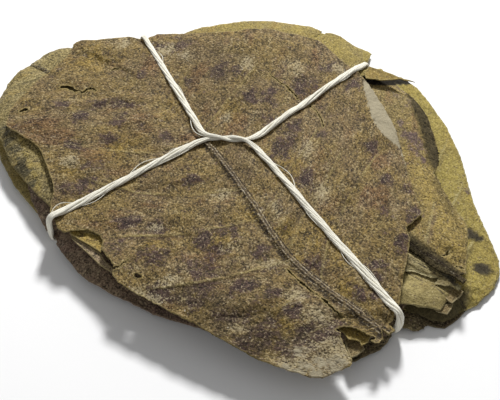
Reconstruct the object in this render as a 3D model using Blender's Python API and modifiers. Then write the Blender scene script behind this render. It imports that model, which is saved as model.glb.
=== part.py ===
"""A stack of dried Indian almond leaves, tied both ways with one cotton string.

Lengths below are in millimetres and are turned to metres as each mesh is made. +X runs along the
top leaf from its base to its tip, +Y to the left of its midrib, and the stack lies on z = 0.
"""

import math
from dataclasses import dataclass

import bmesh
import bpy
import numpy as np
from mathutils import Vector, noise
from mathutils.geometry import delaunay_2d_cdt

MM = 0.001

# Leaf stock
BLADE_THICK = 0.6
RIB_THICK = 2.4
RIB_WIDTH = 3.6
RIB_TIP_WIDTH = 1.4
AIR = 0.3

# How far a leaf's margin keeps off the string where it goes over the edge, and how fast the
# small bay there runs out to both sides
NOTCH_SPARE = 1.0
NOTCH_SLOPE = 2.5

# String stock
STRING_RADIUS = 1.3
TWIST_RADIUS = 1.1
PRESSED_RADIUS = 0.95
KNOT_RADIUS = 0.65

# Where the string goes over the edge of the stack, and the two ends of the twist on top
NEAR_EXIT = (-85.0, -2.9)
FAR_EXIT = (107.0, -23.4)
LEFT_EXIT = (39.8, 73.5)
RIGHT_EXIT = (26.5, -94.0)
TWIST_START = (32.4, -1.9)
TWIST_END = (18.5, -15.5)
TWIST_TURNS = 1
TWIST_LEAVE = 5.0
TWIST_STEPS = 14

# Each exit with the end of the twist that the string comes from
EXIT_LINES = (
    (NEAR_EXIT, TWIST_END),
    (FAR_EXIT, TWIST_START),
    (LEFT_EXIT, TWIST_START),
    (RIGHT_EXIT, TWIST_END),
)

# The two hooks of the knot under the stack: the side each comes from, how far off the crossing it
# passes over the long run, and the way it turns back
LEFT_HOOK = (1, 1.6, -1)
RIGHT_HOOK = (-1, 2.4, 1)

# The middle of the box round the finished stack, so that the origin is at its bottom centre
STACK_CENTRE = (18.93, -17.48)


@dataclass
class Leaf:
    """One leaf: where its base lies, how it points, and the half-widths of its blade."""

    name: str
    base: tuple
    heading: float
    length: float
    left: float = 0.0
    right: float = 0.0
    fullness: float = 1.2
    roundness: float = 0.52
    bend: float = 0.0
    sway: float = 0.0
    rib: float = 1.2
    stump: float = 3.0
    veins: int = 6
    vein: float = 0.3
    flank: float = 0.0
    wave: float = 0.9
    wear: float = 1.0
    spacing: float = 12.0
    coarse: float = 0.6
    colour: tuple = (0.2, 0.15, 0.06)
    outline: tuple = ()
    tear: tuple = ()
    lifts: tuple = ()


# Margin of the top leaf, from its base along the left side to the tip and back on the right
TOP_MARGIN = (
    (0, 7), (7, 10), (13, 15), (8, 17), (1, 20), (2, 28), (4, 35), (15, 42), (34, 50), (57, 58),
    (84, 66), (91, 63), (100, 62), (106, 58), (113, 60), (118, 68), (126, 68), (134, 65), (141, 58),
    (152, 54), (166, 50), (183, 53), (189, 52), (196, 44), (203, 27), (209, 7), (214, -2),
    (208, -11), (200, -23), (183, -44), (169, -60), (160, -73), (150, -81), (139, -89), (123, -88),
    (110, -89), (94, -84), (76, -76), (64, -69), (51, -60), (36, -51), (32, -47), (31, -38),
    (26, -35), (19, -26), (11, -15), (3, -4),
)

# Margins, drawn the same way, of the bottom leaf, the light leaf that shows all along the right of
# the stack and the dark leaf that shows at the lower left
BOTTOM_MARGIN = (
    (0.5, 5), (4, 12), (8, 20), (10, 30), (15, 40), (28, 46), (45, 52), (65, 58), (90, 62), (115, 61),
    (140, 55), (162, 45), (180, 32), (191, 15), (195, 2), (194, -10), (186, -24), (172, -37),
    (152, -47), (128, -53), (100, -54), (72, -51), (46, -43), (24, -31), (10, -18), (2, -6),
)
LOWER_MARGIN = (
    (1, 5), (6, 14), (14, 25), (24, 34), (36, 43), (48, 50), (60, 54.5), (68, 58), (74, 60.4),
    (81, 63), (88, 64.4), (96, 66), (104, 67), (114, 67.4), (124, 65.7), (136, 63), (147, 58.5),
    (158, 54), (172, 46), (184, 36), (192, 22), (197, 8), (198, 0), (196, -12), (188, -26),
    (174, -37), (156, -44), (134, -47), (108, -47), (82, -44), (58, -38), (36, -29), (18, -17),
    (6, -8), (1, -3),
)
OUTER_MARGIN = (
    (4, 12), (14, 20), (30, 30), (50, 40), (75, 48), (100, 54), (125, 56), (150, 50), (170, 40),
    (186, 24), (194, 10), (198, 0), (197, -14), (191, -30), (182, -41), (172, -48), (162, -53),
    (152, -57), (140, -60), (129, -61), (119, -62), (106, -61), (93, -59), (81, -55), (68, -50),
    (57, -44), (44, -38), (32, -33), (18, -28), (10, -21), (5, -10),
)

# Where the yellow leaf at the far right is torn across, from its right margin to its left
FAR_TEAR = (
    (0, -104), (6, -99), (12, -96), (16, -91), (21, -88), (26, -75), (24, -60), (31, -40), (28, -10),
    (33, 25),
)

# From the bottom of the stack to the top
LEAVES = (
    Leaf("leaf_01", (-89.5, -20.5), 12, 196, bend=3, wave=0.0, wear=0.5, veins=5,
         colour=(0.16, 0.13, 0.05), outline=BOTTOM_MARGIN),
    Leaf("leaf_02", (-99, -30), -9, 197, bend=-4, wave=0.6, wear=0.5, veins=7, stump=-3.0,
         colour=(0.42, 0.36, 0.15), outline=OUTER_MARGIN),
    Leaf("leaf_03", (-80, -2), 9, 214, 52.5, 44, 1.25, 0.47, bend=5, wave=0.5, veins=5, stump=0.5,
         colour=(0.40, 0.32, 0.09)),
    Leaf("leaf_04", (-87, -9), 9, 198, bend=4, wave=0.6, wear=0.5, veins=6,
         colour=(0.14, 0.08, 0.05), outline=LOWER_MARGIN),
    Leaf("leaf_05", (-99, -29), 17, 200, 46, 48, 1.3, 0.8, bend=-5, wave=0.6, veins=4,
         colour=(0.33, 0.27, 0.12), tear=((-86.8, -34), (-91.3, -17))),
    Leaf("leaf_06", (-87, -32), 13, 186, 42, 50, 1.35, 0.65, bend=4, wave=0.6, veins=4, stump=4,
         colour=(0.38, 0.31, 0.15)),
    Leaf("leaf_07", (-88, -34), 5, 186, 44, 73, 1.2, 0.62, bend=2, rib=2.0, wave=1.0, veins=7,
         stump=4, colour=(0.30, 0.21, 0.09), lifts=((-70, -50, 26, 1.5),)),
    Leaf("leaf_08", (-90, -33), -0.7, 189, 48, 65, 1.7, 0.65, wave=0.7, veins=6,
         colour=(0.36, 0.28, 0.10), tear=FAR_TEAR, lifts=((10, -94, 22, 2.6),)),
    Leaf("leaf_09", (-78, 0), 6.5, 213, 52, 46, 1.4, 0.45, bend=-3, wave=0.7, veins=7,
         colour=(0.30, 0.25, 0.10)),
    Leaf("leaf_10", (-88, 4), 0, 214, wear=0.2, bend=-1.0, sway=8.4, rib=RIB_THICK, wave=1.2,
         veins=9, vein=0.4, flank=2.4, spacing=9.0, coarse=0.4, stump=2.0, colour=(0.24, 0.17, 0.09),
         outline=TOP_MARGIN, lifts=((-75, 45, 22, 1.5), (26, 68, 12, 1.2))),
)

# The heightfield that each leaf is laid on, how the leaf settles on it in small steps, and the
# spare height kept over what is laid
CELL = 1.0
FIELD_LOW = (-118.0, -122.0)
FIELD_HIGH = (150.0, 96.0)
SETTLE_ROUNDS = 70
EASE = 0.5
SAG = 0.05
LAID_SPARE = 0.05

# The bottom leaf lies flat on the floor wherever it comes this close to it
FLAT_BELOW = 0.8

# Distance between the points of the string's route, and the length over which its bends are eased
STEP = 0.5
BEND_EASE = 0.8


def at_stack(point, z=0.0):
    """A point of the stack's own frame in metres, with the origin at the stack's bottom centre."""
    return Vector((point[0] - STACK_CENTRE[0], point[1] - STACK_CENTRE[1], z)) * MM


def rib_line(leaf, along):
    """How far the midrib lies to the left of the straight line from base to tip."""
    turn = math.pi * min(max(along / leaf.length, 0.0), 1.0)
    return leaf.bend * math.sin(turn) + leaf.sway * math.sin(2 * turn)


def rib_half_width(leaf, along):
    """Half the midrib's width, which narrows from the base to the tip."""
    share = min(max(along / leaf.length, 0.0), 1.0)
    return 0.5 * (RIB_WIDTH + (RIB_TIP_WIDTH - RIB_WIDTH) * share) * math.sqrt(leaf.rib / RIB_THICK)


def place(leaf, point):
    """A point of the leaf's own frame, along and to the left of its axis, in the stack's frame."""
    turn = math.radians(leaf.heading)
    x = leaf.base[0] + point[0] * math.cos(turn) - point[1] * math.sin(turn)
    y = leaf.base[1] + point[0] * math.sin(turn) + point[1] * math.cos(turn)
    return (x, y)


def unplace(leaf, point):
    """A point of the stack's frame in the leaf's own frame."""
    turn = math.radians(leaf.heading)
    x = point[0] - leaf.base[0]
    y = point[1] - leaf.base[1]
    return (x * math.cos(turn) + y * math.sin(turn), y * math.cos(turn) - x * math.sin(turn))


def egg_margin(leaf, count=150):
    """An obovate margin: widest where the fullness puts it, blunter with a lower roundness."""
    points = []
    for step in range(count):
        turn = 2 * math.pi * (step + 0.5) / count
        share = (1 - math.cos(turn)) / 2
        reach = math.sin(math.pi * share**leaf.fullness) ** leaf.roundness
        side = leaf.left if turn < math.pi else -leaf.right
        points.append((leaf.length * share, side * reach))
    return points


def drawn_margin(leaf, steps=4):
    """A soft curve through the leaf's own margin points."""
    points = []
    count = len(leaf.outline)
    for index in range(count):
        a, b, c, d = (np.array(leaf.outline[(index + k - 1) % count], float) for k in range(4))
        for step in range(steps):
            t = step / steps
            bow = (2 * a - 5 * b + 4 * c - d) * t * t + (3 * b - a - 3 * c + d) * t**3
            points.append(tuple(b + 0.5 * ((c - a) * t + bow)))
    return points


def ragged(leaf, points):
    """The margin with the small bays and points that a dry leaf's edge breaks into."""
    seed = 10.0 * int(leaf.name[-2:])
    worn = []
    for x, y in points:
        moved = []
        for start, value in ((seed, x), (seed + 5.0, y)):
            coarse = noise.noise(Vector((x * 0.06 + start, y * 0.06, 0.3)))
            fine = noise.noise(Vector((x * 0.19 + start, y * 0.19, 0.9)))
            moved.append(value + leaf.wear * (1.6 * coarse + 0.7 * fine))
        worn.append(tuple(moved))
    return worn


def torn(points, tear):
    """The outline on the tip's side of a tear, whose points run from the right margin to the left."""
    beyond = [p[0] > np.interp(p[1], [t[1] for t in tear], [t[0] for t in tear]) for p in points]
    first = next(i for i in range(len(points)) if beyond[i] and not beyond[i - 1])
    turned = points[first:] + points[:first]
    run = [p for p, keep in zip(turned, beyond[first:] + beyond[:first]) if keep]
    return run + [t for t in tear if inside(points, t)]


def notched(points):
    """The outline drawn in where the string pulls on it, so that it stays inside the string."""
    wall = STRING_RADIUS + AIR + NOTCH_SPARE
    for exit_point, inner in EXIT_LINES:
        out = (Vector(exit_point) - Vector(inner)).normalized()
        side = Vector((-out.y, out.x))
        moved = []
        for point in points:
            offset = Vector(point) - Vector(exit_point)
            reach = offset.dot(out)
            aside = offset.dot(side)
            limit = -wall + NOTCH_SLOPE * max(0.0, abs(aside) - STRING_RADIUS - NOTCH_SPARE)
            if reach > limit:
                offset = side * aside + out * limit
            moved.append(tuple(Vector(exit_point) + offset))
        points = moved
    return points


def simplified(points, tolerance):
    """Douglas and Peucker's thinning of an open run of points."""
    if len(points) < 3:
        return list(points)
    start = np.array(points[0])
    chord = np.array(points[-1]) - start
    rest = np.array(points[1:-1]) - start
    length = np.linalg.norm(chord)
    if length < 1e-6:
        away = np.linalg.norm(rest, axis=1)
    else:
        along = np.clip(rest @ chord / length**2, 0, 1)
        away = np.linalg.norm(rest - np.outer(along, chord), axis=1)
    worst = int(np.argmax(away))
    if away[worst] < tolerance:
        return [points[0], points[-1]]
    head = simplified(points[: worst + 2], tolerance)
    return head[:-1] + simplified(points[worst + 1 :], tolerance)


def split_long(points, longest):
    """A closed run of points with its long edges cut into equal ones."""
    result = []
    for a, b in zip(points, points[1:] + points[:1]):
        parts = max(1, math.ceil(math.dist(a, b) / longest))
        for k in range(parts):
            t = k / parts
            result.append((a[0] + t * (b[0] - a[0]), a[1] + t * (b[1] - a[1])))
    return result


def inside(points, spot):
    """Whether a spot lies within a closed outline."""
    x, y = spot
    hits = False
    for a, b in zip(points, points[1:] + points[:1]):
        if (a[1] > y) != (b[1] > y) and x < a[0] + (y - a[1]) * (b[0] - a[0]) / (b[1] - a[1]):
            hits = not hits
    return hits


def distance_to(points, spot):
    """Distance from a spot to a closed outline."""
    a = np.array(points)
    edge = np.roll(a, -1, axis=0) - a
    rest = np.array(spot) - a
    t = np.clip((rest * edge).sum(1) / np.maximum((edge * edge).sum(1), 1e-9), 0, 1)
    return float(np.linalg.norm(rest - edge * t[:, None], axis=1).min())


def leaf_outline(leaf):
    """The margin in the leaf's own frame, torn, notched at the string, and with its leaf stalk."""
    points = drawn_margin(leaf) if leaf.outline else egg_margin(leaf)
    points = [place(leaf, p) for p in ragged(leaf, points)]
    if leaf.tear:
        points = torn(points, leaf.tear)
    points = [unplace(leaf, p) for p in notched(points)]
    half = rib_half_width(leaf, 0)
    root = rib_line(leaf, 0)
    if leaf.outline or inside(points, (6.0, root)):
        # The stalk's stub joins the blade where the outline passes the base
        blade = [p for p in points if p[0] > 2.0 or abs(p[1] - root) > half + 1.0]
        gaps = [math.dist(((a[0] + b[0]) / 2, (a[1] + b[1]) / 2), (0, root))
                for a, b in zip(blade[-1:] + blade[:-1], blade)]
        first = gaps.index(min(gaps))
        blade = blade[first:] + blade[:first]
        if blade[0][1] < blade[-1][1]:
            blade.reverse()
        start = max(blade[0][0], blade[-1][0], 1.0)
        low = min(blade[0][0], blade[-1][0], 0.0) - leaf.stump
        stub = [(start, root - half), (low, root - half), (low, root + half), (start, root + half)]
        points = simplified(blade, leaf.coarse) + stub
    else:
        points = simplified(points + points[:1], leaf.coarse)[:-1]
    return split_long(points, leaf.spacing)


def vein_lines(leaf, outline):
    """The side veins, which leave the midrib at a slant and arch towards the tip."""
    lines = []
    for side in (1, -1):
        for index in range(leaf.veins):
            share = (index + 0.7 + 0.12 * side) / (leaf.veins + 0.6)
            start = leaf.length * (0.04 + 0.86 * share)
            line = []
            reach = rib_half_width(leaf, start) + 0.55 * leaf.spacing
            while reach < 100:
                along = start + 0.5 * reach + 0.0022 * reach * reach
                spot = (along, rib_line(leaf, start) + side * reach)
                if not inside(outline, spot) or distance_to(outline, spot) < 0.45 * leaf.spacing:
                    break
                line.append(spot)
                reach += leaf.spacing
            if line:
                lines.append(line)
    return lines


def vein_flanks(line, aside):
    """Points on both sides of a side vein, which keep its ridge narrow."""
    flanks = []
    for index, spot in enumerate(line):
        ahead = line[min(index + 1, len(line) - 1)]
        behind = line[max(index - 1, 0)]
        run = Vector(ahead) - Vector(behind)
        if run.length > 0:
            side = Vector((-run.y, run.x)).normalized() * aside
            flanks += [tuple(Vector(spot) + side), tuple(Vector(spot) - side)]
    return flanks


def blade_sheet(leaf):
    """Points, triangles, rib weights and vein marks of the flat leaf in the stack's frame."""
    outline = leaf_outline(leaf)
    spots = [Vector(p) for p in outline]
    edges = [(i, (i + 1) % len(outline)) for i in range(len(outline))]
    lines = []
    low = min(p[0] for p in outline)
    step = leaf.spacing * 0.95
    count = int((leaf.length - low) / step)
    for offset in (0, 1, -1):
        line = []
        for k in range(count + 1):
            along = low + 0.9 + (leaf.length - 2.5 - low) * k / count
            spot = (along, rib_line(leaf, along) + offset * rib_half_width(leaf, along))
            if inside(outline, spot) and distance_to(outline, spot) > 0.7:
                line.append(spot)
        lines.append(line)
    veins = vein_lines(leaf, outline)
    lines += veins
    if leaf.flank:
        lines += [[spot] for line in veins for spot in vein_flanks(line, leaf.flank)]
    for line in lines:
        first = len(spots)
        spots += [Vector(p) for p in line]
        edges += [(first + k, first + k + 1) for k in range(len(line) - 1)]
    fixed = np.array([tuple(p) for p in spots])
    row = 0
    x_low, x_high = fixed[:, 0].min(), fixed[:, 0].max()
    y = fixed[:, 1].min()
    while y < fixed[:, 1].max():
        x = x_low + (row % 2) * leaf.spacing / 2
        while x < x_high:
            spot = (x, y)
            clear = np.linalg.norm(fixed - np.array(spot), axis=1).min()
            if clear > 0.52 * leaf.spacing and inside(outline, spot):
                if distance_to(outline, spot) > 0.45 * leaf.spacing:
                    spots.append(Vector(spot))
            x += leaf.spacing
        y += leaf.spacing * 0.87
        row += 1
    boundary = list(range(len(outline)))
    made, _, faces, *_ = delaunay_2d_cdt(spots, edges, [boundary], 1, 0.01)
    points = np.array([tuple(p) for p in made])
    rib = np.zeros(len(points))
    vein = np.zeros(len(points))
    marks = np.array([p for line in veins for p in line] or [(1e6, 1e6)])
    for index, (along, across) in enumerate(points):
        off = abs(across - rib_line(leaf, along)) / rib_half_width(leaf, along)
        taper = (1 - min(max(along / leaf.length, 0), 1)) ** 0.8
        if off < 0.3:
            rib[index] = max(taper, 0.12)
        elif off < 1.2 and along < 1.5:
            rib[index] = 0.7
        elif off < 1.2:
            rib[index] = 0.12 * taper
        if np.linalg.norm(marks - points[index], axis=1).min() < 0.1:
            vein[index] = 1.0
    placed = np.array([place(leaf, p) for p in points])
    return placed, np.array([list(f) for f in faces]), rib, vein


class Field:
    """Heights of what has been laid down so far, on a square grid."""

    def __init__(self):
        size = (np.array(FIELD_HIGH) - np.array(FIELD_LOW)) / CELL
        self.shape = tuple(int(n) for n in size)
        self.top = np.full(self.shape, -AIR)

    def cover(self, points, faces):
        """The cells under each triangle, with the shares of its corners in each cell."""
        cells, owners, shares = [], [], []
        spots = (points - np.array(FIELD_LOW)) / CELL - 0.5
        for index, face in enumerate(faces):
            a, b, c = spots[face]
            low = np.floor(np.minimum(np.minimum(a, b), c)).astype(int)
            high = np.ceil(np.maximum(np.maximum(a, b), c)).astype(int)
            x, y = np.mgrid[low[0] : high[0] + 1, low[1] : high[1] + 1]
            x, y = x.ravel(), y.ravel()
            area = (b[0] - a[0]) * (c[1] - a[1]) - (c[0] - a[0]) * (b[1] - a[1])
            if abs(area) < 1e-9:
                continue
            second = ((x - a[0]) * (c[1] - a[1]) - (c[0] - a[0]) * (y - a[1])) / area
            third = ((b[0] - a[0]) * (y - a[1]) - (x - a[0]) * (b[1] - a[1])) / area
            hit = (second > -1e-6) & (third > -1e-6) & (second + third < 1 + 1e-6)
            cells.append(x[hit] * self.shape[1] + y[hit])
            owners.append(np.full(hit.sum(), index))
            shares.append(np.stack([1 - second - third, second, third], 1)[hit])
        return np.concatenate(cells), faces[np.concatenate(owners)], np.concatenate(shares)

    def spread(self):
        """The highest of each cell and its eight neighbours."""
        wide = self.top.copy()
        for dx in (-1, 0, 1):
            for dy in (-1, 0, 1):
                wide = np.maximum(wide, np.roll(self.top, (dx, dy), (0, 1)))
        return wide

    def add(self, cells, heights):
        np.maximum.at(self.top.reshape(-1), cells, heights)

    def highest(self, point, radius):
        """The highest cell within a radius of a point."""
        x = (point[0] - FIELD_LOW[0]) / CELL - 0.5
        y = (point[1] - FIELD_LOW[1]) / CELL - 0.5
        span = int(math.ceil(radius / CELL)) + 1
        best = -AIR
        for i in range(int(x) - span, int(x) + span + 2):
            for j in range(int(y) - span, int(y) + span + 2):
                if math.hypot(i - x, j - y) * CELL <= radius:
                    best = max(best, self.top[i, j])
        return best

    def add_string(self, path, radii):
        """A stretch of string, as wide as it is with half a cell to spare."""
        for point, radius in zip(path, radii):
            x = (point[0] - FIELD_LOW[0]) / CELL - 0.5
            y = (point[1] - FIELD_LOW[1]) / CELL - 0.5
            span = int(math.ceil(radius / CELL)) + 1
            for i in range(int(x) - span, int(x) + span + 2):
                for j in range(int(y) - span, int(y) + span + 2):
                    if math.hypot(i - x, j - y) * CELL <= radius + 0.5 * CELL:
                        self.top[i, j] = max(self.top[i, j], point[2] + radius)


def neighbours(count, faces):
    """Each pair of points that share an edge, both ways, and how many such pairs a point has."""
    ends = np.concatenate([faces[:, [0, 1]], faces[:, [1, 2]], faces[:, [2, 0]]])
    ends = np.unique(np.sort(ends, axis=1), axis=0)
    both = np.concatenate([ends, ends[:, ::-1]])
    degree = np.bincount(both[:, 0], minlength=count)
    return both, np.maximum(degree, 1)


def lifted(heights, cells, corners, shares, ground, passes, done=0.01):
    """The sheet raised, corner by corner, until no cell of its underside is below the ground."""
    need = ground.reshape(-1)[cells] + AIR
    weight = (shares**2).sum(1)
    for _ in range(passes):
        short = need - (heights[corners] * shares).sum(1)
        low = short > done
        if not low.any():
            break
        push = np.zeros(len(heights))
        for k in range(3):
            amount = short[low] * shares[low, k] / weight[low]
            np.maximum.at(push, corners[low, k], amount)
        heights = heights + push
    return heights


def string_distance(points):
    """How far each point lies from the nearest string line on top of the stack."""
    best = np.full(len(points), 1e9)
    for far, near in EXIT_LINES:
        a = np.array(near)
        run = np.array(far) - a
        t = np.clip(((points - a) @ run) / (run @ run), 0, 1)
        best = np.minimum(best, np.linalg.norm(points - a - t[:, None] * run, axis=1))
    return best


def own_form(leaf, points, vein, edge):
    """The leaf's dried shape over what it lies on: raised veins, waves towards the margin, lifts."""
    seed = 7.3 * int(leaf.name[-2:])
    free = 1 - np.exp(-((string_distance(points) / 22.0) ** 2))
    form = leaf.vein * vein
    for index, (x, y) in enumerate(points):
        swell = noise.noise(Vector((x * 0.028 + seed, y * 0.028, 0.5)))
        crinkle = noise.noise(Vector((x * 0.075 - seed, y * 0.075, 1.5)))
        curl = math.exp(-edge[index] / 14.0)
        wave = (0.5 + swell) * (0.5 + 1.3 * curl) + 0.5 * crinkle * (0.4 + curl)
        form[index] += leaf.wave * free[index] * max(wave, 0.0)
        for lift_x, lift_y, radius, height in leaf.lifts:
            share = math.hypot(x - lift_x, y - lift_y) / radius
            form[index] += height * math.exp(-share * share)
    return form


def lay(leaf, field):
    """Lays one leaf on the field and returns its sheet with heights."""
    points, faces, rib, vein = blade_sheet(leaf)
    cells, corners, shares = field.cover(points, faces)
    ground = field.spread()
    both, degree = neighbours(len(points), faces)
    heights = np.zeros(len(points))
    for _ in range(SETTLE_ROUNDS):
        mean = np.bincount(both[:, 0], weights=heights[both[:, 1]], minlength=len(points)) / degree
        heights = np.maximum(heights + EASE * (mean - heights) - SAG, 0.0)
        heights = lifted(heights, cells, corners, shares, ground, 3)
    outline = leaf_outline(leaf)
    edge = np.array([distance_to(outline, unplace(leaf, p)) for p in points])
    heights = heights + own_form(leaf, points, vein, edge)
    if leaf is LEAVES[0]:
        heights[heights < FLAT_BELOW] = 0.0
    heights = lifted(heights, cells, corners, shares, ground, 60, 0.002)
    thick = BLADE_THICK + (leaf.rib - BLADE_THICK) * rib
    field.add(cells, ((heights + thick)[corners] * shares).sum(1) + LAID_SPARE)
    return points, faces, heights, rib


def leaf_object(leaf, points, faces, heights, rib):
    """The laid sheet as a mesh, thickened upwards to its blade and its raised midrib."""
    mesh = bpy.data.meshes.new(leaf.name)
    shape = bmesh.new()
    verts = [shape.verts.new(at_stack(p, z)) for p, z in zip(points, heights)]
    for a, b, c in faces:
        face = shape.faces.new((verts[a], verts[b], verts[c]))
        face.smooth = True
    shape.normal_update()
    if sum(face.normal.z for face in shape.faces) < 0:
        bmesh.ops.reverse_faces(shape, faces=shape.faces)
    shape.to_mesh(mesh)
    shape.free()
    obj = bpy.data.objects.new(leaf.name, mesh)
    stack_collection.objects.link(obj)
    group = obj.vertex_groups.new(name="midrib")
    for index, weight in enumerate(rib):
        if weight > 0:
            group.add([index], float(weight), "REPLACE")
    wall = obj.modifiers.new("Leaf thickness", "SOLIDIFY")
    wall.thickness = leaf.rib * MM
    wall.offset = 1.0
    wall.vertex_group = group.name
    wall.thickness_vertex_group = BLADE_THICK / leaf.rib
    mesh.materials.append(dry_material(leaf.name + "_blade", leaf.colour, 0.75))
    return obj


def dry_material(name, colour, roughness):
    """A plain dull material, one for each node."""
    material = bpy.data.materials.new(name)
    material.use_nodes = True
    shader = material.node_tree.nodes["Principled BSDF"]
    shader.inputs["Base Color"].default_value = (*colour, 1)
    shader.inputs["Roughness"].default_value = roughness
    shader.inputs["Metallic"].default_value = 0.0
    return material


def crossing():
    """Where the string's two runs cross under the stack."""
    a = np.array(NEAR_EXIT)
    run = np.array(FAR_EXIT) - a
    b = np.array(LEFT_EXIT)
    other = np.array(RIGHT_EXIT) - b
    t = np.linalg.solve(np.stack([run, -other], 1), b - a)[0]
    return a + t * run


def knot_hook(side, aside, lean):
    """One end of the string: over the long run, round it, back under it and out along the floor."""
    low = AIR + KNOT_RADIUS
    middle = low + 2 * KNOT_RADIUS + AIR
    high = middle + 2 * KNOT_RADIUS + AIR
    run_low = AIR + PRESSED_RADIUS
    shape = (
        (0.0, 17.0, run_low, PRESSED_RADIUS),
        (0.0, 8.0, 0.6 * high, KNOT_RADIUS),
        (0.0, 3.0, high - 0.2, KNOT_RADIUS),
        (0.0, 0.0, high, KNOT_RADIUS),
        (0.3 * lean, -2.6, high - 0.6, KNOT_RADIUS),
        (0.9 * lean, -4.0, middle, KNOT_RADIUS),
        (1.5 * lean, -2.8, low + 0.5, KNOT_RADIUS),
        (1.6 * lean, 0.0, low, KNOT_RADIUS),
        (1.6, 4.0, low, KNOT_RADIUS),
        (6.0, 8.5, low, KNOT_RADIUS),
        (10.0, 11.0, low, KNOT_RADIUS * 1.1),
    )
    centre = crossing()
    along = np.array(FAR_EXIT) - np.array(NEAR_EXIT)
    along = along / np.linalg.norm(along)
    across = np.array((-along[1], along[0]))
    points = []
    for a, b, z, radius in shape:
        spot = centre + along * side * (a + aside) + across * side * b
        points.append((spot[0], spot[1], z, radius))
    return points


def under_run():
    """The long run of string under the stack, raised and pinched inside the knot."""
    centre = crossing()
    along = np.array(FAR_EXIT) - np.array(NEAR_EXIT)
    along = along / np.linalg.norm(along)
    middle = AIR + 3 * KNOT_RADIUS + AIR
    points = []
    for reach, z, radius in (
        (-22, AIR + PRESSED_RADIUS, PRESSED_RADIUS),
        (-9, middle - 0.4, KNOT_RADIUS),
        (0, middle, KNOT_RADIUS),
        (9, middle - 0.4, KNOT_RADIUS),
        (22, AIR + PRESSED_RADIUS, PRESSED_RADIUS),
    ):
        spot = centre + along * reach
        points.append((spot[0], spot[1], z, radius))
    return points


def smooth_run(points, step=STEP):
    """A Catmull-Rom curve through points of any width, read at even steps."""
    data = [np.array(p, float) for p in points]
    data = [2 * data[0] - data[1]] + data + [2 * data[-1] - data[-2]]
    result = []
    for a, b, c, d in zip(data, data[1:], data[2:], data[3:]):
        count = max(2, int(np.linalg.norm((c - b)[:3]) / step))
        for k in range(count):
            t = k / count
            result.append(0.5 * (2 * b + (c - a) * t + (2 * a - 5 * b + 4 * c - d) * t * t
                                 + (3 * b - a - 3 * c + d) * t**3))
    result.append(data[-2])
    return np.array(result)


def hull_run(section, radius):
    """A taut path round a section: the outer side of its points grown by a radius."""
    ring = [(radius * math.cos(a), radius * math.sin(a)) for a in np.linspace(0, 2 * math.pi, 24)]
    cloud = sorted({(round(x + dx, 4), round(z + dz, 4)) for x, z in section for dx, dz in ring})
    chains = []
    for order in (cloud, cloud[::-1]):
        chain = []
        for p in order:
            while len(chain) > 1:
                (ax, az), (bx, bz) = chain[-2], chain[-1]
                if (bx - ax) * (p[1] - az) - (bz - az) * (p[0] - ax) < 0:
                    break
                chain.pop()
            chain.append(p)
        chains.append(chain)
    upper, lower = chains
    return upper + lower[1:]


def arm(field, start, exit_point, start_height):
    """The string from one end of the twist, over the leaves, round the edge and down."""
    a = np.array(start)
    run = np.array(exit_point) - a
    reach = np.linalg.norm(run)
    out = run / reach
    wall = STRING_RADIUS + AIR
    section = [(0.0, start_height - wall)]
    last = 0.0
    distance = 3.0
    while distance < reach + 2:
        height = field.highest(a + out * distance, STRING_RADIUS + 0.7)
        if height > 1.0:
            section.append((distance, height + 0.15))
            last = distance
        distance += 1.0
    edge = reach - wall
    section = [(min(x, edge), z) for x, z in section]
    foot = AIR + PRESSED_RADIUS + wall
    section.append((edge, foot))
    section.append((0.0, foot))
    chain = hull_run(section, wall)
    path = [(0.0, start_height)]
    for x, z in chain:
        if x > 0.3 and (z > foot - wall + 0.02 or x > edge):
            path.append((x, z))
    path.append((edge, foot - wall))
    run_3d = []
    for x, z in path:
        radius = STRING_RADIUS if z > foot + 1.0 else PRESSED_RADIUS
        run_3d.append((a[0] + out[0] * x, a[1] + out[1] * x, z, radius))
    leave = int(TWIST_LEAVE / STEP)
    return resampled(np.array(run_3d))[leave:]


def twist(field, strand):
    """One of the two strands of the twist where the runs cross on top of the stack."""
    a = np.array(TWIST_START)
    run = np.array(TWIST_END) - a
    length = np.linalg.norm(run)
    along = run / length
    side = np.array((along[1], -along[0]))
    coil = TWIST_RADIUS + 0.22
    height = twist_height(field)
    points = []
    for k in range(TWIST_STEPS + 1):
        share = k / TWIST_STEPS
        turn = math.pi * strand + 2 * math.pi * TWIST_TURNS * share
        spot = a + run * share - side * coil * math.cos(turn)
        points.append((spot[0], spot[1], height + coil * math.sin(turn), TWIST_RADIUS))
    return points


def twist_height(field):
    """The height of the twist's axis, clear of the leaves with a strand below it."""
    a = np.array(TWIST_START)
    run = np.array(TWIST_END) - a
    top = max(field.highest(a + run * t, 3.4) for t in np.linspace(-0.1, 1.1, 13))
    return top + AIR + 2 * TWIST_RADIUS + 0.35


def softened(path, spread):
    """The path with its corners eased by a running mean."""
    span = int(3 * spread / STEP)
    weights = np.exp(-0.5 * (np.arange(-span, span + 1) * STEP / spread) ** 2)
    weights /= weights.sum()
    padded = np.concatenate([np.repeat(path[:1], span, 0), path, np.repeat(path[-1:], span, 0)])
    eased = np.stack([np.convolve(padded[:, k], weights, "valid") for k in range(path.shape[1])], 1)
    return eased


def resampled(path, step=STEP):
    """The path read at even steps along its length."""
    gaps = np.linalg.norm(np.diff(path[:, :3], axis=0), axis=1)
    total = np.concatenate([[0], np.cumsum(gaps)])
    marks = np.linspace(0, total[-1], max(2, int(total[-1] / step)))
    return np.stack([np.interp(marks, total, path[:, k]) for k in range(path.shape[1])], 1)


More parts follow.
